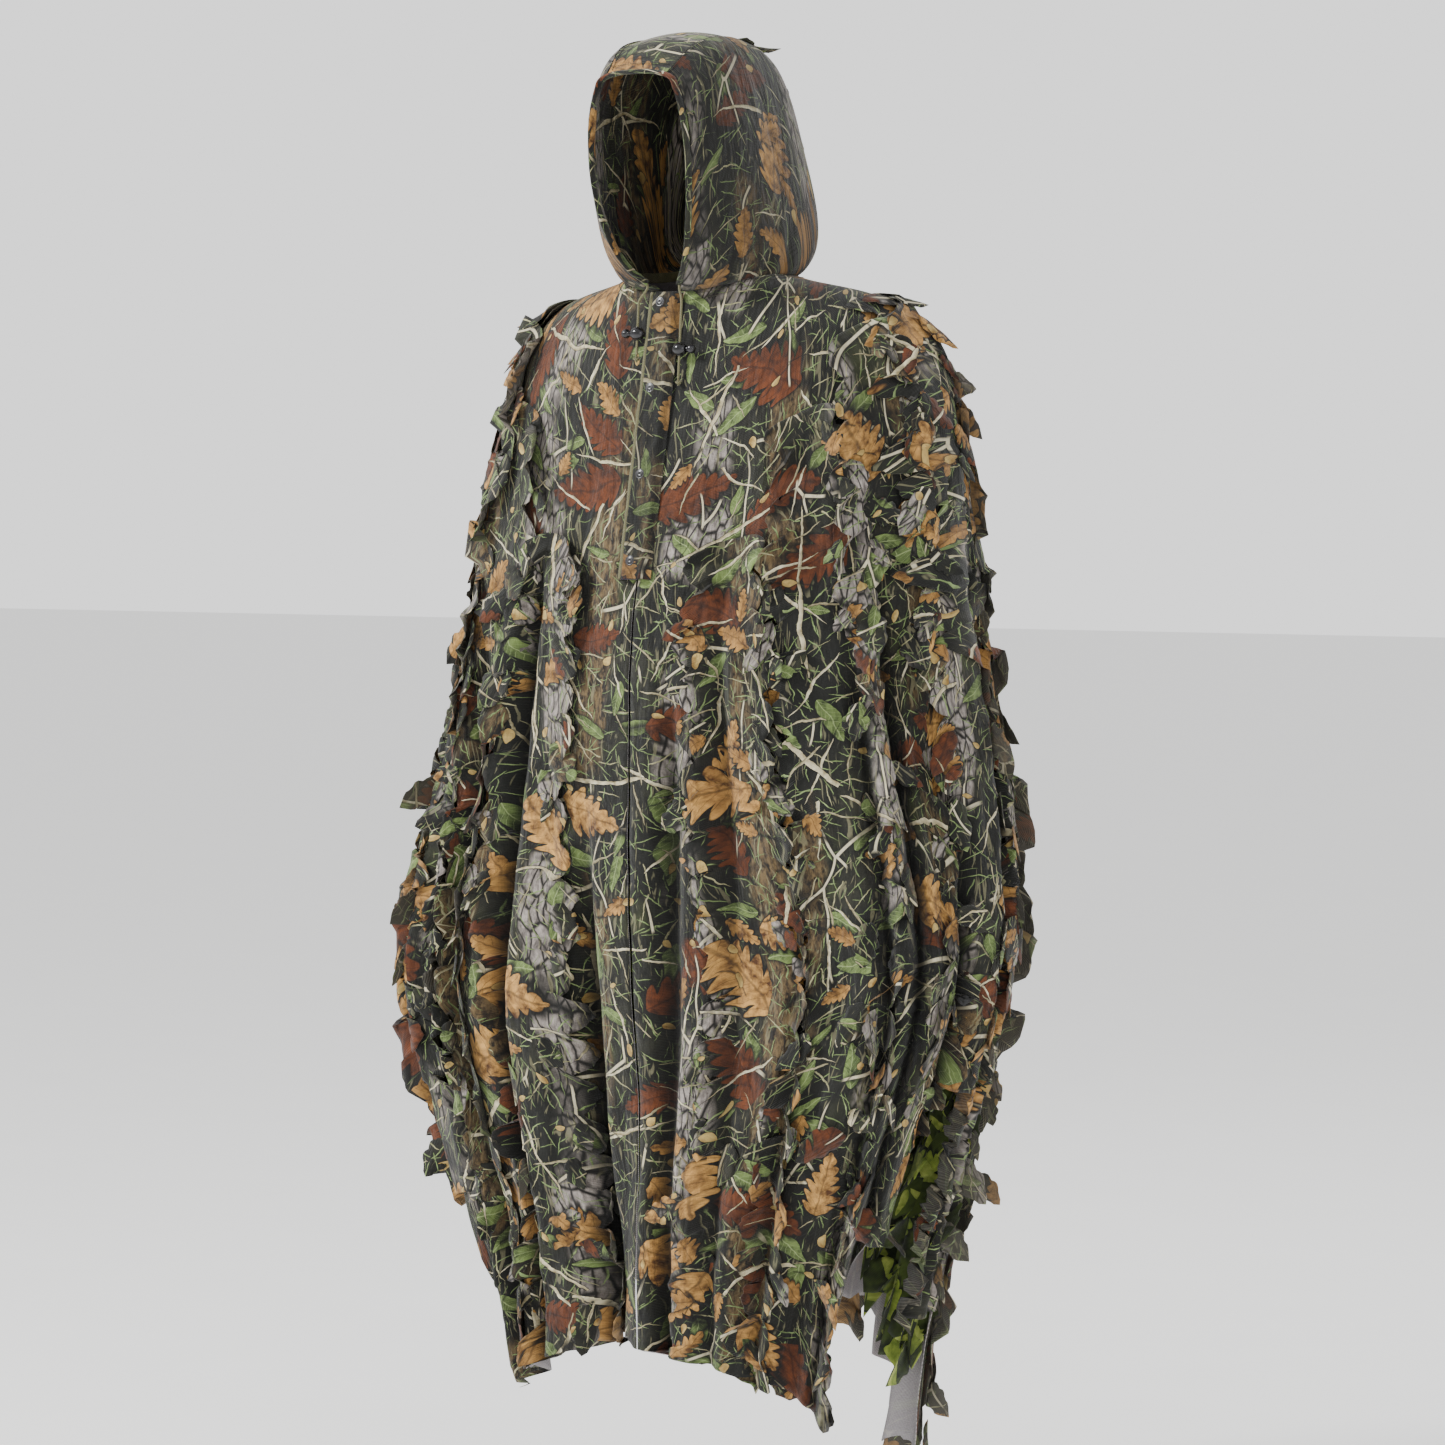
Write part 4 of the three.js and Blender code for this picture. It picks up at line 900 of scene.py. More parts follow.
def leaf_strip(name, angle, first_row, half_width, seed, liveliness):
    """A band of printed cloth sewn down its middle, with leaf-cut edges and loose leaves."""
    rng = np.random.default_rng(seed)
    rows, columns = 230, 22
    top = first_row / ROWS
    pile = Pile()
    end = float(hung_share(angle))
    down = np.linspace(top, end + 0.012 * rng.uniform(-1, 1.4), rows + 1)
    wander = 1.6 * np.sin(down * rng.uniform(5, 9) + rng.uniform(0, 6))
    centre = angle + wander * (1 if angle < 180 else -1)
    spine = cloth_point(centre, down)
    length = np.concatenate([[0], np.cumsum(np.linalg.norm(np.diff(spine, axis=0), axis=-1))])
    per_degree = strip_frame(centre, down)[0]
    narrow = 0.55 + 0.45 * ease(length, 0.0, 0.16)
    across = np.linspace(-1, 1, columns + 1)
    sides = {}
    for side in (-1, 1):
        tip, droop, curl = leaf_edge(length, rng, rng.uniform(0, 1))
        sides[side] = (half_width * narrow - LEAF_DEPTH * 0.45 + LEAF_DEPTH * tip * 0.9, droop, curl)
    reach = np.where(across[None] < 0, sides[-1][0][:, None], sides[1][0][:, None])
    droop = np.where(across[None] < 0, sides[-1][1][:, None], sides[1][1][:, None])
    curl = np.where(across[None] < 0, sides[-1][2][:, None], sides[1][2][:, None])
    edge = np.abs(across)[None]
    offset = across[None] * reach
    pull = 0.016 * (0.4 + droop) * edge ** 3
    share = np.clip(down[:, None] + pull / 1.3, 0, 1.0)
    place = centre[:, None] + offset / per_degree[:, None]
    ripple = 0.0025 * np.sin(length[:, None] * 60 + across[None] * 2 + seed)
    lift = 0.003 + (0.003 + 0.024 * liveliness * curl ** 1.6) * edge ** 2.2 + ripple * edge
    points = cloth_point(place, share, lift)
    flat_start = rng.uniform(0, 4, 2)
    flat = np.stack([flat_start[0] + offset, flat_start[1] - length[:, None] + 0 * offset], -1)
    pile.add(points, flat, flip=True, depth=painted_shade_in_pleats(place, share) * 0.9)
    total = length[-1]
    at = LEAF_PITCH * 0.4
    while at < total - LEAF_PITCH * 0.7:
        i = int(np.searchsorted(length, at))
        for side in (-1, 1):
            if rng.uniform() < 0.45:
                continue
            out = rng.uniform(0.35, 0.98)
            half = sides[side][0][i] * out
            spot = np.array(centre[i] + side * half / per_degree[i])
            here = np.array(down[i])
            _, way, aside, normal = strip_frame(spot, here)
            tilt = math.radians(rng.uniform(8, 62)) * side * (1 if rng.uniform() < 0.85 else -1)
            forward = way * math.cos(tilt) + aside * math.sin(tilt)
            square = aside * math.cos(tilt) - way * math.sin(tilt)
            long = rng.uniform(0.036, 0.070)
            wide = long * rng.uniform(0.20, 0.32)
            base = cloth_point(spot, here, 0.004 + 0.006 * out)
            add_leaf(
                pile, base, forward, square, normal, long, wide, rng.choice([2.5, 3.2, 4.0]),
                liveliness * rng.uniform(0.002, 0.018), liveliness * rng.uniform(-1, 1), rng.uniform(0, 4, 2),
            )
        at += LEAF_PITCH * rng.uniform(0.55, 0.95)
    thing = pile.build(name, [leaf_cloth, leaf_back], thickness=0.0006)
    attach(thing, "body_cloth")
    return thing


strips = [
    ("centre", 20, 4.2), ("chest", 40, 2.6), ("rib", 60, 1.7), ("arm", 80, 1.25),
    ("back_arm", 100, 1.25), ("back_blade", 120, 1.6), ("back_rib", 140, 1.7), ("back_spine", 160, 0.9),
]
HALF_WIDTHS = {
    "centre": 0.058, "chest": 0.060, "rib": 0.056, "arm": 0.050,
    "back_arm": 0.048, "back_blade": 0.056, "back_rib": 0.060, "back_spine": 0.060,
}
for number, (title, at_angle, row) in enumerate(strips):
    for hand in ("left", "right"):
        around = at_angle if hand == "left" else 360 - at_angle
        strip = leaf_strip(
            f"leaf_cloth_{title}_{hand}", around, row, HALF_WIDTHS[title],
            100 + 2 * number + (hand == "right"), 0.45 if title.endswith("arm") else 1.0,
        )
        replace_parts(strip, f"leaf_strip_{title}_{hand}")

# ---------------------------------------------------------------- lime layer inside the back


def lime_layer():
    pile = Pile()
    rng = np.random.default_rng(77)
    angle, down = grid((100, 260), (0, 1), 140, 120)
    fringe = 0.035 * np.abs(np.sin(np.radians(angle) * 17)) + 0.02 * np.sin(np.radians(angle) * 41)
    share = mix(0.5, hung_share(angle) - 0.035 - fringe, down)
    sway = 0.012 * down * (1 + 0.5 * np.sin(np.radians(angle) * 26))
    points = cloth_point(angle, share, -CLOTH - 0.008 - sway)
    pile.add(points, metric(points))
    for row in np.linspace(0.52, 0.92, 17):
        for around in np.arange(102 + rng.uniform(0, 4), 258, 6.0):
            if row > hung_share(around) - 0.07:
                continue
            here, spot = np.array(row + rng.uniform(-0.01, 0.01)), np.array(around + rng.uniform(-3, 3))
            _, way, aside, normal = strip_frame(spot, here)
            tilt = math.radians(rng.uniform(-70, 70))
            forward = way * math.cos(tilt) + aside * math.sin(tilt)
            square = aside * math.cos(tilt) - way * math.sin(tilt)
            long = rng.uniform(0.05, 0.085)
            add_leaf(
                pile, cloth_point(spot, here, -CLOTH - 0.022), forward, square, -normal, long,
                long * rng.uniform(0.3, 0.45), 3.2, rng.uniform(0.005, 0.02), rng.uniform(-1, 1),
                rng.uniform(0, 4, 2), flip=True,
            )
    thing = pile.build("lime_leaf_layer", [lime, lime], thickness=0.0006)
    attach(thing, "body_cloth")
    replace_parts(thing, "inner_leaf_layer")


lime_layer()

# ---------------------------------------------------------------- hood

HOOD_TOP = 0.306
HOOD_HALF_WIDTH = 0.103
HOOD_BACK = 0.115
GUSSET_HALF_WIDTH = 0.052
GUSSET_CROWN = 0.009
FACE_HALF_WIDTH = 0.066
FACE_TOP = 0.252
FACE_FRONT = -0.136
FACE_MIDDLE = -0.124
CHIN_ANGLE = 4
NAPE_ANGLE = 158
SEAM_GAP = 0.0004
HOOD_LIFT = 2 * SEAM_GAP + CLOTH * 1.6
SIDE_PANEL_END = 0.955
CORD_RADIUS = 0.0015
CASING_RADIUS = 0.0037
CASING_GAP = 0.0013
RIM_END = 0.93


def neck_point(angle, lift=0.0):
    return drape(angle, np.zeros_like(np.asarray(angle, float))) + np.array([0, 0, lift])


HOOD_SEAM = [
    (GUSSET_HALF_WIDTH * 0.8, FACE_FRONT, FACE_TOP),
    (GUSSET_HALF_WIDTH, FACE_FRONT * 0.62, HOOD_TOP - 0.018),
    (GUSSET_HALF_WIDTH, -0.006, HOOD_TOP - 0.008),
    (GUSSET_HALF_WIDTH, HOOD_BACK * 0.6, HOOD_TOP * 0.89),
    (GUSSET_HALF_WIDTH, HOOD_BACK - 0.008, HOOD_TOP * 0.64),
    (GUSSET_HALF_WIDTH, HOOD_BACK - 0.008, HOOD_TOP * 0.33),
    tuple(neck_point(float(NAPE_ANGLE), HOOD_LIFT)),
]


def through_middle(start, end, middle, t):
    control = (8 * middle - start - end) / 6
    r = 1 - t
    return r**3 * start + 3 * r * r * t * control + 3 * r * t * t * control + t**3 * end


def hood_side(along, down):
    """Points of the left side of the hood: along its seam from brow to nape, and down to the neck."""
    along, down = np.broadcast_arrays(np.asarray(along, float), np.asarray(down, float))
    share = along * SIDE_PANEL_END
    top = through(HOOD_SEAM, share)
    bottom = neck_point(mix(CHIN_ANGLE, NAPE_ANGLE, share), HOOD_LIFT)
    half_width = mix(FACE_HALF_WIDTH, HOOD_HALF_WIDTH, ease(share, 0, 0.3))
    widest = mix(np.maximum(top[..., 0], bottom[..., 0]) + 0.004, half_width, ease(-share, -1.05, -0.7))
    level = mix(FACE_MIDDLE, mix(top[..., 1], bottom[..., 1], 0.5) + 0.006 * share, ease(share, 0, 0.35))
    x = through_middle(top[..., 0], bottom[..., 0], widest, down)
    y = through_middle(top[..., 1], bottom[..., 1], level, down)
    drop = mix(down * down * (3 - 2 * down), down, 0.25)
    return np.stack([x, y, mix(top[..., 2], bottom[..., 2], drop)], -1)


def hood_middle(along, across):
    """Points of the hood's middle strip: along its seams, and across from -1 to 1."""
    along, across = np.broadcast_arrays(np.asarray(along, float), np.asarray(across, float))
    seam = through(HOOD_SEAM, along)
    ahead = unit(through(HOOD_SEAM, along + 0.01) - through(HOOD_SEAM, along - 0.01))
    outward = unit(np.stack([0 * along, -ahead[..., 2], ahead[..., 1]], -1))
    crown = GUSSET_CROWN * (1 - across**2) * np.sin(math.pi * np.clip(0.1 + 0.85 * along, 0, 1))
    start = np.stack([(seam[..., 0] - SEAM_GAP) * across, seam[..., 1], seam[..., 2]], -1)
    return start + outward * crown[..., None]


def surface_normal(surface, a, b):
    step = 0.01
    one = surface(np.clip(a + step, 0, 1), b) - surface(np.clip(a - step, 0, 1), b)
    other = surface(a, np.clip(b + step, -1, 1)) - surface(a, np.clip(b - step, -1, 1))
    return unit(np.cross(one, other))


def hood_crease(points, near_neck):
    """Soft creases of the hood, deeper where the neck seam gathers it."""
    x, y, z = points[..., 0], points[..., 1], points[..., 2]
    soft = wobble(5, (np.abs(x), 26.0), (y, 30.0), (z, 22.0))
    gathers = np.sin(np.arctan2(np.abs(x), y) * 21 + 30 * z) * ease(near_neck, 0.55, 1.0)
    return 0.0030 * soft + 0.0014 * gathers


def ride_hood(thing, *nodes, slot="camouflage_mesh"):
    """Sets the hood piece's placing into its points and hides the frame's pieces that it replaces."""
    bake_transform(thing)
    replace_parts(thing, *nodes)
    return thing


def mirror(points):
    return points * np.array([-1.0, 1.0, 1.0])


def hood_panels():
    along, down = grid((0, 1), (0, 1), 90, 90)
    points = hood_side(along, down)
    normal = -surface_normal(hood_side, along, down)
    normal *= np.sign((normal * (points - np.array([0, 0, 0.12]))).sum(-1, keepdims=True))
    seam_edge = np.minimum(np.minimum(down, 1 - down) * 60, 1)
    for hand in ("left", "right"):
        lift = CLOTH + hood_crease(points, down) * seam_edge * (1 if hand == "left" else 0.8)
        placed = points + normal * lift[..., None] + np.array([SEAM_GAP, 0, 0])
        flat = metric(points) + np.array([0.31 if hand == "left" else 0.02, 0.44])
        pile = Pile()
        pile.add(placed if hand == "left" else mirror(placed), flat, flip=hand == "right")
        thing = pile.build(f"hood_{hand}_cloth", [camouflage, painted_shade_print], thickness=0.0012)
        ride_hood(thing, f"hood_side_{hand}")

    along, across = grid((0, 1), (-1, 1), 110, 34)
    points = hood_middle(along, across)
    seam_edge = np.minimum((1 - np.abs(across)) * 10, 1)
    normal = surface_normal(hood_middle, along, across)
    normal *= np.sign((normal * (points - np.array([0, 0, 0.12]))).sum(-1, keepdims=True))
    lift = CLOTH + hood_crease(points, along) * seam_edge
    pile = Pile()
    pile.add(points + normal * lift[..., None], metric(points) + np.array([0.9, 0.3]), flip=True)
    thing = pile.build("hood_middle_cloth", [camouflage, painted_shade_print], thickness=0.0012)
    ride_hood(thing, "hood_middle_strip")


hood_panels()


def hood_leaf_strip():
    rng = np.random.default_rng(31)
    pile = Pile()
    along, across = grid((0.42, 0.965), (-1, 1), 160, 16)
    length = (along - 0.42) * 0.62
    tip, _, curl = leaf_edge(length, rng, 0.2)
    reach = 0.42 + 0.30 * tip
    points = hood_middle(along, across * reach)
    normal = surface_normal(hood_middle, along, across * reach)
    normal *= np.sign((normal * (points - np.array([0, 0, 0.12]))).sum(-1, keepdims=True))
    lift = CLOTH + 0.003 + (0.002 + 0.008 * curl) * np.abs(across) ** 2
    points = points + normal * lift[..., None]
    pile.add(points, np.stack([across * 0.03 + 2.3, -length], -1), flip=True)
    for spot in np.arange(0.44, 0.93, 0.045):
        for side in (-1, 1):
            a, b = np.array(spot + rng.uniform(-0.01, 0.01)), np.array(side * rng.uniform(0.2, 0.75))
            base = hood_middle(a, b)
            ahead = unit(hood_middle(a + 0.02, b) - base)
            aside = np.array([1.0, 0, 0])
            out = np.cross(ahead, aside)
            out = unit(out * np.sign((out * (base - np.array([0, 0, 0.12]))).sum()))
            tilt = math.radians(rng.uniform(5, 60)) * side
            forward = ahead * math.cos(tilt) + aside * math.sin(tilt)
            square = aside * math.cos(tilt) - ahead * math.sin(tilt)
            long = rng.uniform(0.035, 0.055)
            add_leaf(
                pile, base + out * 0.006, forward, square, out, long, long * 0.32, 3.2,
                rng.uniform(0.003, 0.014), rng.uniform(-1, 1), rng.uniform(0, 4, 2),
            )
    thing = pile.build("leaf_cloth_hood", [leaf_cloth, leaf_back], thickness=0.0006)
    ride_hood(thing, "leaf_strip_hood", slot="leaf_cut_cloth")


hood_leaf_strip()

# ---------------------------------------------------------------- hem casing and drawcord

down_stations = [RIM_END, 0.84, 0.74, 0.62, 0.5, 0.38, 0.26, 0.14, 0.05]
rim_points = [mirror(hood_side(0.0, down)) for down in down_stations]
rim_points += [hood_middle(0.0, across) for across in (-0.6, 0.0, 0.6)]
rim_points += [hood_side(0.0, down) for down in reversed(down_stations)]
RIM_FORWARD = CASING_RADIUS + CASING_GAP + CLOTH * 0.7
RIM = np.array(rim_points) - np.array([0, RIM_FORWARD, 0])

CASING_HALF_WIDTH = 0.0072
CASING_FLATNESS = 0.36


def rim_casing():
    """A flat hem with the drawcord in it: it rolls over the rim and is topstitched behind."""
    path = through(RIM, np.linspace(0, 1, 261))
    back = np.array([0, 1.0, 0.0]) + 0 * path
    pile = Pile()

    def puckers(turns, lengths):
        cord = 0.16 * np.exp(-((np.cos(turns) + 0.35) ** 2) * 9)
        return cord + 0.03 * np.sin(lengths * 420) * np.sin(turns) + 0.03 * np.sin(lengths * 97)

    tube(pile, path + np.array([0, 0.0026, 0]), CASING_HALF_WIDTH, 28, sideways=back, relief=puckers,
         flatten=CASING_FLATNESS)
    thing = pile.build("hood_hem", [camouflage])
    ride_hood(thing, "hood_hem_casing")


def cord_relief(turns, lengths):
    strand = np.abs(np.sin(4 * turns + lengths * 1500)) * np.abs(np.sin(4 * turns - lengths * 1500))
    return 0.05 - 0.14 * (1 - strand)


def rim_cord():
    path = through(RIM, np.linspace(0, 1, 700))
    pile = Pile()
    tube(pile, path, CORD_RADIUS, 12, sideways=(0, 1, 0), relief=cord_relief)
    thing = pile.build("hood_cord", [olive_cord])
    ride_hood(thing, "hood_drawcord", slot="olive_cord")


rim_casing()
rim_cord()

# The route of each tail, from the casing's mouth to its knot.
TAILS = {
    "left": [
        (0.0232, -0.0815, 0.0104), (0.0223, -0.0808, 0.0082),
        (0.0221, -0.0804, 0.0042), (0.0234, -0.0809, -0.0008),
        (0.0256, -0.082, -0.0066), (0.027, -0.0834, -0.014),
        (0.027, -0.0842, -0.024), (0.027, -0.085, -0.034),
        (0.027, -0.0858, -0.044), (0.027, -0.0866, -0.054),
        (0.027, -0.0874, -0.064), (0.027, -0.0882, -0.074),
        (0.027, -0.089, -0.084), (0.027, -0.0898, -0.094), (0.027, -0.09048, -0.1025),
    ],
    "right": [
        (-0.0232, -0.0815, 0.0104), (-0.0223, -0.0808, 0.0082), (-0.0228, -0.0804, 0.0042),
        (-0.0256, -0.0809, -0.0004), (-0.0294, -0.0818, -0.0052),
        (-0.0324, -0.083, -0.0104), (-0.033, -0.0838, -0.017),
        (-0.033, -0.0846, -0.027), (-0.033, -0.0854, -0.037),
        (-0.033, -0.0862, -0.047), (-0.033, -0.087, -0.057),
        (-0.033, -0.0878, -0.067), (-0.033, -0.0884, -0.0745),
    ],
}


def cord_tail(hand):
    path = through(TAILS[hand], np.linspace(0, 1, 260))
    pile = Pile()
    tube(pile, path, CORD_RADIUS, 24, sideways=(1, 0, 0), relief=cord_relief)
    tail = pile.build(f"cord_tail_{hand}", [olive_cord])
    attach(tail, "body_cloth")
    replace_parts(tail, f"drawcord_tail_{hand}")

    # The knot is the cord wound twice round itself, with its end tucked under.
    low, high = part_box(f"drawcord_knot_{hand}")
    middle = (np.array(low) + np.array(high)) / 2
    turn = np.linspace(0, 2.6 * 2 * math.pi, 150)
    wind = np.stack([
        0.0022 * np.cos(turn), 0.0022 * np.sin(turn), 0.0020 * np.sin(turn / 2.6 + 0.4) * np.cos(turn * 0.5),
    ], -1)
    pile = Pile()
    tube(pile, middle + wind, CORD_RADIUS * 0.92, 14, sideways=(0, 0, 1), relief=cord_relief)
    tube(pile, middle + np.array([[0, 0, 0.0042], [0, 0, 0.001], [0, 0, -0.003], [0.0004, 0, -0.0046]]),
         CORD_RADIUS * 0.9, 14, sideways=(1, 0, 0))
    knot = pile.build(f"cord_knot_{hand}", [olive_cord])
    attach(knot, "body_cloth")
    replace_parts(knot, f"drawcord_knot_{hand}")
    return tail, knot, path


# ---------------------------------------------------------------- cord locks

def turned_piece(pile, profile, centre, axis, sides=48):
    """A solid of revolution: profile is (distance along the axis, radius) from end to end."""
    axis = unit(np.array(axis, float))
    start = np.array([0.0, 0.0, 1.0]) if abs(axis[2]) < 0.9 else np.array([1.0, 0.0, 0.0])
    one = unit(np.cross(axis, start))
    other = np.cross(axis, one)
    profile = np.array(profile, float)
    turn = np.arange(sides) * 2 * math.pi / sides
    ring = np.cos(turn)[:, None] * one + np.sin(turn)[:, None] * other
    points = centre + profile[:, :1, None] * axis + profile[:, 1:2, None] * ring[None]
    first = pile.count
    flat = np.stack(np.meshgrid(turn * profile[:, 1].max(), profile[:, 0]), -1)
    pile.add(points, flat, closed=True)
    pile.cap(np.arange(first, first + sides), flip=False)
    last = first + (len(profile) - 1) * sides
    pile.cap(np.arange(last, last + sides), flip=True)


def ball_profile(radius, long, start=0.02, end=0.98, groove=None):
    """A ball, longer along its axis by a share, with a shallow groove round it if one is given."""
    angle = np.linspace(math.pi * (1 - start), math.pi * (1 - end), 40)
    along = radius * long * np.cos(angle)
    out = radius * np.sin(angle)
    if groove is not None:
        out = out - 0.0004 * np.exp(-((along - groove) / 0.0005) ** 2)
    return np.stack([along, out], -1)


LOCK_RADIUS = 0.008
LOCK_LENGTHENING = 1.2
LOCK_BORE = 0.0036
BUTTON_RADIUS = 0.0056
BUTTON_REACH = 0.0162
LOCK_STEM_RADIUS = 0.0032
LOCK_AT = {"left": (0.027, -0.08772, -0.068), "right": (-0.033, -0.08636, -0.049)}
CORD_DROP = unit(np.array([0.0, -0.08, -1.0]))


def cord_lock(hand):
    side = 1 if hand == "left" else -1
    centre = np.array(LOCK_AT[hand])
    axis = np.array([side, 0.0, 0.0])

    # The body is a moulded ball with an open end for the button and a collar where the cord goes through.
    shell = [(x, r) for x, r in ball_profile(LOCK_RADIUS, LOCK_LENGTHENING, 0.03, 0.845, groove=0.0052)]
    mouth = shell[-1][0]
    shell += [(mouth + 0.0002, LOCK_BORE + 0.0007), (mouth, LOCK_BORE + 0.0001), (mouth - 0.0006, LOCK_BORE)]
    shell += [(-0.0015, LOCK_BORE), (-0.0019, LOCK_BORE - 0.0006)]
    pile = Pile()
    turned_piece(pile, shell, centre, axis, 64)
    for way in (-1, 1):
        at = centre + CORD_DROP * way * (LOCK_RADIUS - 0.0004)
        lip = [(-0.0007, 0.0028), (0.0, 0.0030), (0.0004, 0.0028), (0.0005, 0.0024), (0.0002, 0.0021),
               (-0.0008, 0.0020)]
        turned_piece(pile, lip, at, CORD_DROP * way, 40)
    body = pile.build(f"lock_body_{hand}", [black_plastic])
    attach(body, f"cord_lock_{hand}")
    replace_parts(body, f"cord_lock_body_{hand}")

    # The button is a ball on a stem, with a step at its foot and a shallow groove round the ball.
    stem = [(-0.0028, 0.0024), (-0.0026, LOCK_STEM_RADIUS - 0.0003), (-0.0023, LOCK_STEM_RADIUS)]
    foot = BUTTON_REACH - BUTTON_RADIUS
    stem += [(foot + 0.0005, LOCK_STEM_RADIUS), (foot + 0.0008, LOCK_STEM_RADIUS + 0.0004)]
    ball = ball_profile(BUTTON_RADIUS, 1.0, 0.2, 0.985, groove=0.0026)
    stem += [(BUTTON_REACH + x, r) for x, r in ball]
    pile = Pile()
    turned_piece(pile, stem, centre, axis, 64)
    button = pile.build(f"lock_button_{hand}", [black_plastic])
    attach(button, f"lock_button_{hand}")
    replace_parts(button, f"cord_lock_button_{hand}")

    # The spring is a wire of three close turns behind the stem.
    low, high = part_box(f"cord_lock_spring_{hand}")
    start = np.array([low[0], (low[1] + high[1]) / 2, (low[2] + high[2]) / 2])
    turn = np.linspace(0, 3 * 2 * math.pi, 160)
    reach = 0.0024
    wire = np.stack([
        turn / turn[-1] * (high[0] - low[0] - 0.0003) + 0.00015, reach * np.cos(turn), reach * np.sin(turn),
    ], -1)
    pile = Pile()
    tube(pile, start + wire, 0.00013, 8, sideways=(1, 0, 0))
    spring = pile.build(f"lock_spring_{hand}", [spring_steel])
    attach(spring, f"cord_lock_{hand}")
    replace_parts(spring, f"cord_lock_spring_{hand}")
    return [body, button, spring]


for hand in ("left", "right"):
    tail, knot, path = cord_tail(hand)
    on_cord = [knot, *cord_lock(hand)]

# ---------------------------------------------------------------- placket

FLAP_RIGHT = -0.018
FLAP_LEFT = 0.012
FLAP_THICKNESS = 0.0012
UNDERLAY_RIGHT = -0.0224
UNDERLAY_LEFT = 0.002
BINDING_WIDTH = 0.004
BINDING_GAP = 0.0004
SNAP_X = -0.008
SNAP_PITCH = 0.104
FIRST_SNAP = 0.014
SNAP_COUNT = 4
CAP_RADIUS = 0.0064
CAP_DOME = 0.0017
PLACKET_TOP = -0.002
PLACKET_BOTTOM = -math.hypot(CHEST_DEPTH, PLACKET_DROP)
UNDERLAY_OUT = 0.00365
FLAP_OUT = 0.0093
CAP_OUT = 0.01085
lean_angle = math.atan(lean)


def on_placket(x, out, height):
    """A point of the placket's own frame: across, out of the mesh's inner face, and up the chest."""
    x, out, height = np.broadcast_arrays(x, out, height)
    y = NECK_FRONT - out * math.cos(lean_angle) + height * math.sin(lean_angle)
    z = out * math.sin(lean_angle) + height * math.cos(lean_angle)
    return np.stack([x + 0.0, y, z], -1)


placket_out = np.array([0.0, -math.cos(lean_angle), math.sin(lean_angle)])
snap_heights = [-FIRST_SNAP - i * SNAP_PITCH for i in range(SNAP_COUNT)]


def pucker(height):
    """The flap bellies out a little between its snaps."""
    place = (-height - FIRST_SNAP) / SNAP_PITCH
    return np.sin(math.pi * place) ** 2


def placket_flap():
    x, height = grid((FLAP_RIGHT, FLAP_LEFT + 0.007), (PLACKET_TOP, PLACKET_BOTTOM), 34, 200)
    fall = ease(x, FLAP_LEFT - 0.003, FLAP_LEFT + 0.007)
    slack = 0.0010 * pucker(height) * ease(-x, -FLAP_LEFT, -FLAP_RIGHT)
    slack = slack + 0.0003 * np.sin(height * 190 + x * 160)
    out = FLAP_OUT + FLAP_THICKNESS + slack - fall * (FLAP_OUT - 0.0022)
    points = on_placket(x, out, height)
    pile = Pile()
    pile.add(points, np.stack([x + 0.62, height + 1.4], -1))
    thing = pile.build("placket_cloth", [camouflage, painted_shade_print], thickness=FLAP_THICKNESS)
    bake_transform(thing)
    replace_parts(thing, "placket_flap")


def bound_edge(name, edge, out, node, body, slack):
    """Tape folded over a free edge."""
    height = np.linspace(PLACKET_TOP, PLACKET_BOTTOM, 240)
    x = edge - BINDING_GAP - BINDING_WIDTH / 2 + 0.0003 * np.sin(height * 90)
    path = on_placket(x, out + FLAP_THICKNESS / 2 + slack * pucker(height), height)
    pile = Pile()

    def fold(turns, lengths):
        return 0.05 * np.sin(lengths * 1300) * np.abs(np.cos(turns)) + 0.02 * np.sin(lengths * 210)

    tube(pile, path, BINDING_WIDTH / 2 + 0.0004, 20, sideways=(1, 0, 0), relief=fold, flatten=0.42)
    thing = pile.build(name, [olive_tape])
    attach(thing, body)
    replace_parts(thing, node)


def underlay():
    x, height = grid((UNDERLAY_RIGHT, UNDERLAY_LEFT), (PLACKET_TOP, PLACKET_BOTTOM), 26, 200)
    out = UNDERLAY_OUT + FLAP_THICKNESS + 0.00025 * np.sin(height * 150 + x * 200)
    points = on_placket(x, out, height)
    pile = Pile()
    pile.add(points, np.stack([x, height], -1))
    thing = pile.build("placket_plum_tape", [plum_tape, plum_tape], thickness=FLAP_THICKNESS)
    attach(thing, "body_cloth")
    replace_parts(thing, "placket_underlay")


placket_flap()
underlay()
bound_edge("flap_binding", FLAP_RIGHT, FLAP_OUT, "flap_edge_binding", "placket_flap", 0.0010)
bound_edge("underlay_binding", UNDERLAY_RIGHT, UNDERLAY_OUT, "underlay_edge_binding", "body_cloth", 0.0)

# Each cap is a domed disc with a rolled rim and a shallow dish in its middle.
CAP_PROFILE = [
    (-0.0015, 0.0011), (-0.0004, 0.0013), (-0.0003, CAP_RADIUS - 0.0009), (0.0, CAP_RADIUS - 0.0003),
    (0.0003, CAP_RADIUS), (0.0007, CAP_RADIUS - 0.0001), (0.0011, CAP_RADIUS - 0.0005),
    (0.0013, CAP_RADIUS - 0.0010), (0.0012, CAP_RADIUS - 0.0014), (0.00115, CAP_RADIUS - 0.0018),
    (CAP_DOME * 0.82, CAP_RADIUS * 0.62), (CAP_DOME * 0.93, CAP_RADIUS * 0.48),
    (CAP_DOME * 0.98, CAP_RADIUS * 0.34),
    (CAP_DOME * 0.94, CAP_RADIUS * 0.26), (CAP_DOME * 0.86, CAP_RADIUS * 0.18),
    (CAP_DOME * 0.84, CAP_RADIUS * 0.04),
]
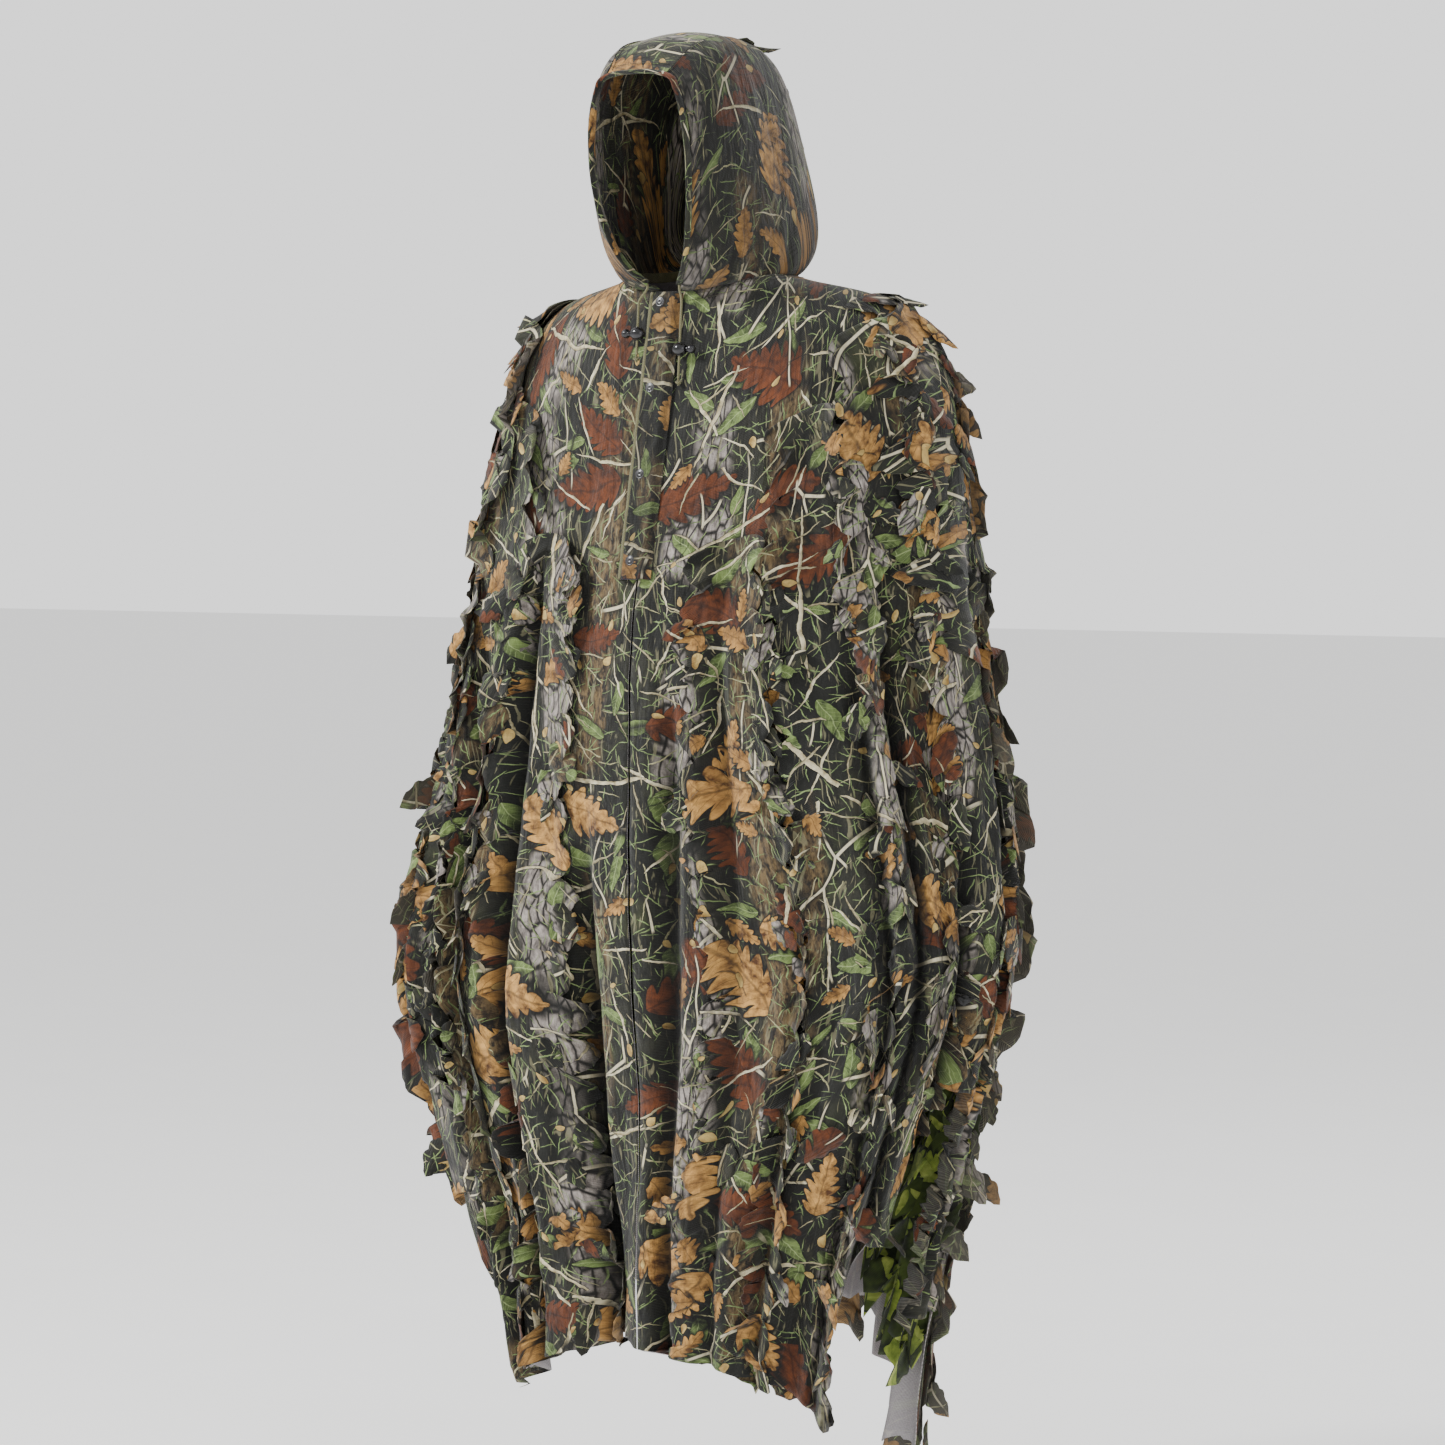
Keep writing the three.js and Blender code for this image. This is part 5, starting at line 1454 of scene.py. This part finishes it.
for i, height in enumerate(snap_heights, 1):
    pile = Pile()
    turned_piece(pile, CAP_PROFILE, on_placket(SNAP_X, CAP_OUT, height), placket_out, 56)
    cap = pile.build(f"snap_cap_moulding_{i}", [black_snap])
    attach(cap, "placket_flap")
    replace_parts(cap, f"snap_cap_{i}")
    for kind in ("post", "stud", "socket"):
        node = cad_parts[f"snap_{kind}_{i}"]
        node.data.materials.clear()
        node.data.materials.append(black_snap)

# ---------------------------------------------------------------- neck tape and stitching


def neck_tape():
    across, height = grid((-1, 1), (-1, 1), 200, 8)
    angle = 180 - 166 * np.abs(across)
    seam = neck_point(angle)
    inward = unit(np.stack([-seam[..., 0], NECK_MIDDLE - seam[..., 1], 0 * across], -1))
    points = seam + inward * 0.0052 + np.stack([0 * across, 0 * across, height * 0.006 + 0.001], -1)
    points[..., 0] *= np.where(across > 0, -1, 1)
    pile = Pile()
    pile.add(points, metric(points))
    thing = pile.build("neck_tape", [olive_tape, olive_tape], thickness=0.0010)
    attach(thing, "body_cloth")
    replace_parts(thing, "neck_seam_tape")


neck_tape()

STITCH_PITCH = 0.0036
STITCH_LENGTH = 0.0025
STITCH_RADIUS = 0.00034


def stitch_line(pile, line, normal):
    """A row of stitches along a line that lies on the cloth."""
    step = np.linalg.norm(np.diff(line, axis=0), axis=-1)
    length = np.concatenate([[0], np.cumsum(step)])
    starts = np.arange(STITCH_PITCH / 2, length[-1] - STITCH_PITCH, STITCH_PITCH)
    for start in starts:
        ends = []
        for share in np.linspace(0, 1, 5):
            at = start + share * STITCH_LENGTH
            here = np.array([np.interp(at, length, line[:, k]) for k in range(3)])
            up = np.array([np.interp(at, length, normal[:, k]) for k in range(3)])
            ends.append(here + up * (0.0004 * math.sin(math.pi * share) - 0.0001))
        sideways = normal[len(normal) // 2] + np.array([0.01, 0.02, 0.03])
        tube(pile, np.array(ends), STITCH_RADIUS, 6, sideways=sideways)


RIM_STITCHES = 0.045              # share of the hood's side at which its rim is sewn
THREAD_LIFT = 0.0003              # the thread lies this far above the cloth
HOOD_CENTRE = np.array([0, 0, 0.12])


def hood_stitching():
    pile = Pile()
    down = np.linspace(0.02, 0.96, 240)
    rim = np.full_like(down, RIM_STITCHES)
    line = hood_side(rim, down)
    normal = surface_normal(hood_side, rim, down)
    normal *= np.sign((normal * (line - HOOD_CENTRE)).sum(-1, keepdims=True))
    crease = hood_crease(line, down) * np.minimum(np.minimum(down, 1 - down) * 60, 1)
    line = line + normal * (CLOTH + THREAD_LIFT + crease)[..., None]
    stitch_line(pile, line, normal)
    stitch_line(pile, mirror(line), mirror(normal))
    along = np.linspace(0.02, 0.97, 260)
    for edge in (-0.93, 0.93):
        across = np.full_like(along, edge)
        line = hood_middle(along, across)
        normal = surface_normal(hood_middle, along, across)
        normal *= np.sign((normal * (line - HOOD_CENTRE)).sum(-1, keepdims=True))
        crease = hood_crease(line, along) * np.minimum((1 - np.abs(across)) * 10, 1)
        stitch_line(pile, line + normal * (CLOTH + THREAD_LIFT + crease)[..., None], normal)
    brow = np.linspace(-0.9, 0.9, 60)
    line = hood_middle(np.full_like(brow, 0.035), brow)
    normal = np.broadcast_to(np.array([0.0, -0.3, 0.95]), line.shape)
    stitch_line(pile, line + normal * 0.0026, normal)
    thing = pile.build("hood_stitching", [thread])
    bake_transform(thing)


def body_stitching():
    pile = Pile()
    for start, stop in ((8, 172), (188, 352)):
        angle = np.linspace(start, stop, 260)
        for share in (0.004, 0.010):
            line = cloth_point(angle, share + 0 * angle, THREAD_LIFT)
            stitch_line(pile, line, drape_normal(angle, share + 0 * angle))
    thing = pile.build("body_stitching", [thread])
    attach(thing, "body_cloth")


hood_stitching()
body_stitching()

# ---------------------------------------------------------------- floor and light

FLOOR_DROP = 0.16                 # the hem hangs this far above the floor
floor_mesh = bpy.data.meshes.new("floor")
FLOOR_HALF = 30.0
floor_z = cad_low[2] - FLOOR_DROP
floor_mesh.from_pydata(
    [(x * FLOOR_HALF, y * FLOOR_HALF, floor_z) for x, y in ((-1, -1), (1, -1), (1, 1), (-1, 1))],
    [], [(0, 1, 2, 3)],
)
floor_material, floor_tree, floor_shader = new_material("pale_floor", Roughness=0.9)
speckle = noise(floor_tree, put(floor_tree, "ShaderNodeTexCoord").outputs["Object"], 6.0, 3.0)["Fac"]
floor_colour = blend(floor_tree, speckle, colour("f1f1f0"), colour("f7f7f6"))
floor_tree.links.new(floor_colour, floor_shader.inputs["Base Color"])
floor_shader.inputs["Emission Color"].default_value = (1.0, 1.0, 1.0, 1.0)
floor_shader.inputs["Emission Strength"].default_value = 0.35
floor_mesh.materials.append(floor_material)
new_object("floor", floor_mesh)

world = bpy.data.worlds.new("studio")
world.use_nodes = True
world.node_tree.nodes["Background"].inputs["Color"].default_value = (1.0, 1.0, 1.0, 1.0)
world.node_tree.nodes["Background"].inputs["Strength"].default_value = 0.85
sees = put(world.node_tree, "ShaderNodeLightPath").outputs["Is Camera Ray"]
bright = put(world.node_tree, "ShaderNodeBackground", {"Strength": 1.85})
both = put(world.node_tree, "ShaderNodeMixShader", {
    0: sees, 1: world.node_tree.nodes["Background"].outputs[0], 2: bright.outputs[0]})
world.node_tree.links.new(both.outputs[0], world.node_tree.nodes["World Output"].inputs["Surface"])
bpy.context.scene.world = world


def soft_light(name, place, size, power):
    data = bpy.data.lights.new(name, "AREA")
    data.shape = "SQUARE"
    data.size = size
    data.energy = power
    lamp = new_object(name, data)
    lamp.location = place
    lamp.rotation_mode = "QUATERNION"
    lamp.rotation_quaternion = (Vector((0, 0, -0.5)) - Vector(place)).to_track_quat("-Z", "Y")


soft_light("key_light", (-2.6, -3.0, 2.6), 1.0, 260)
soft_light("fill_light", (3.4, -2.0, 0.8), 2.2, 25)
soft_light("back_light", (0.8, 3.2, 2.0), 2.2, 60)
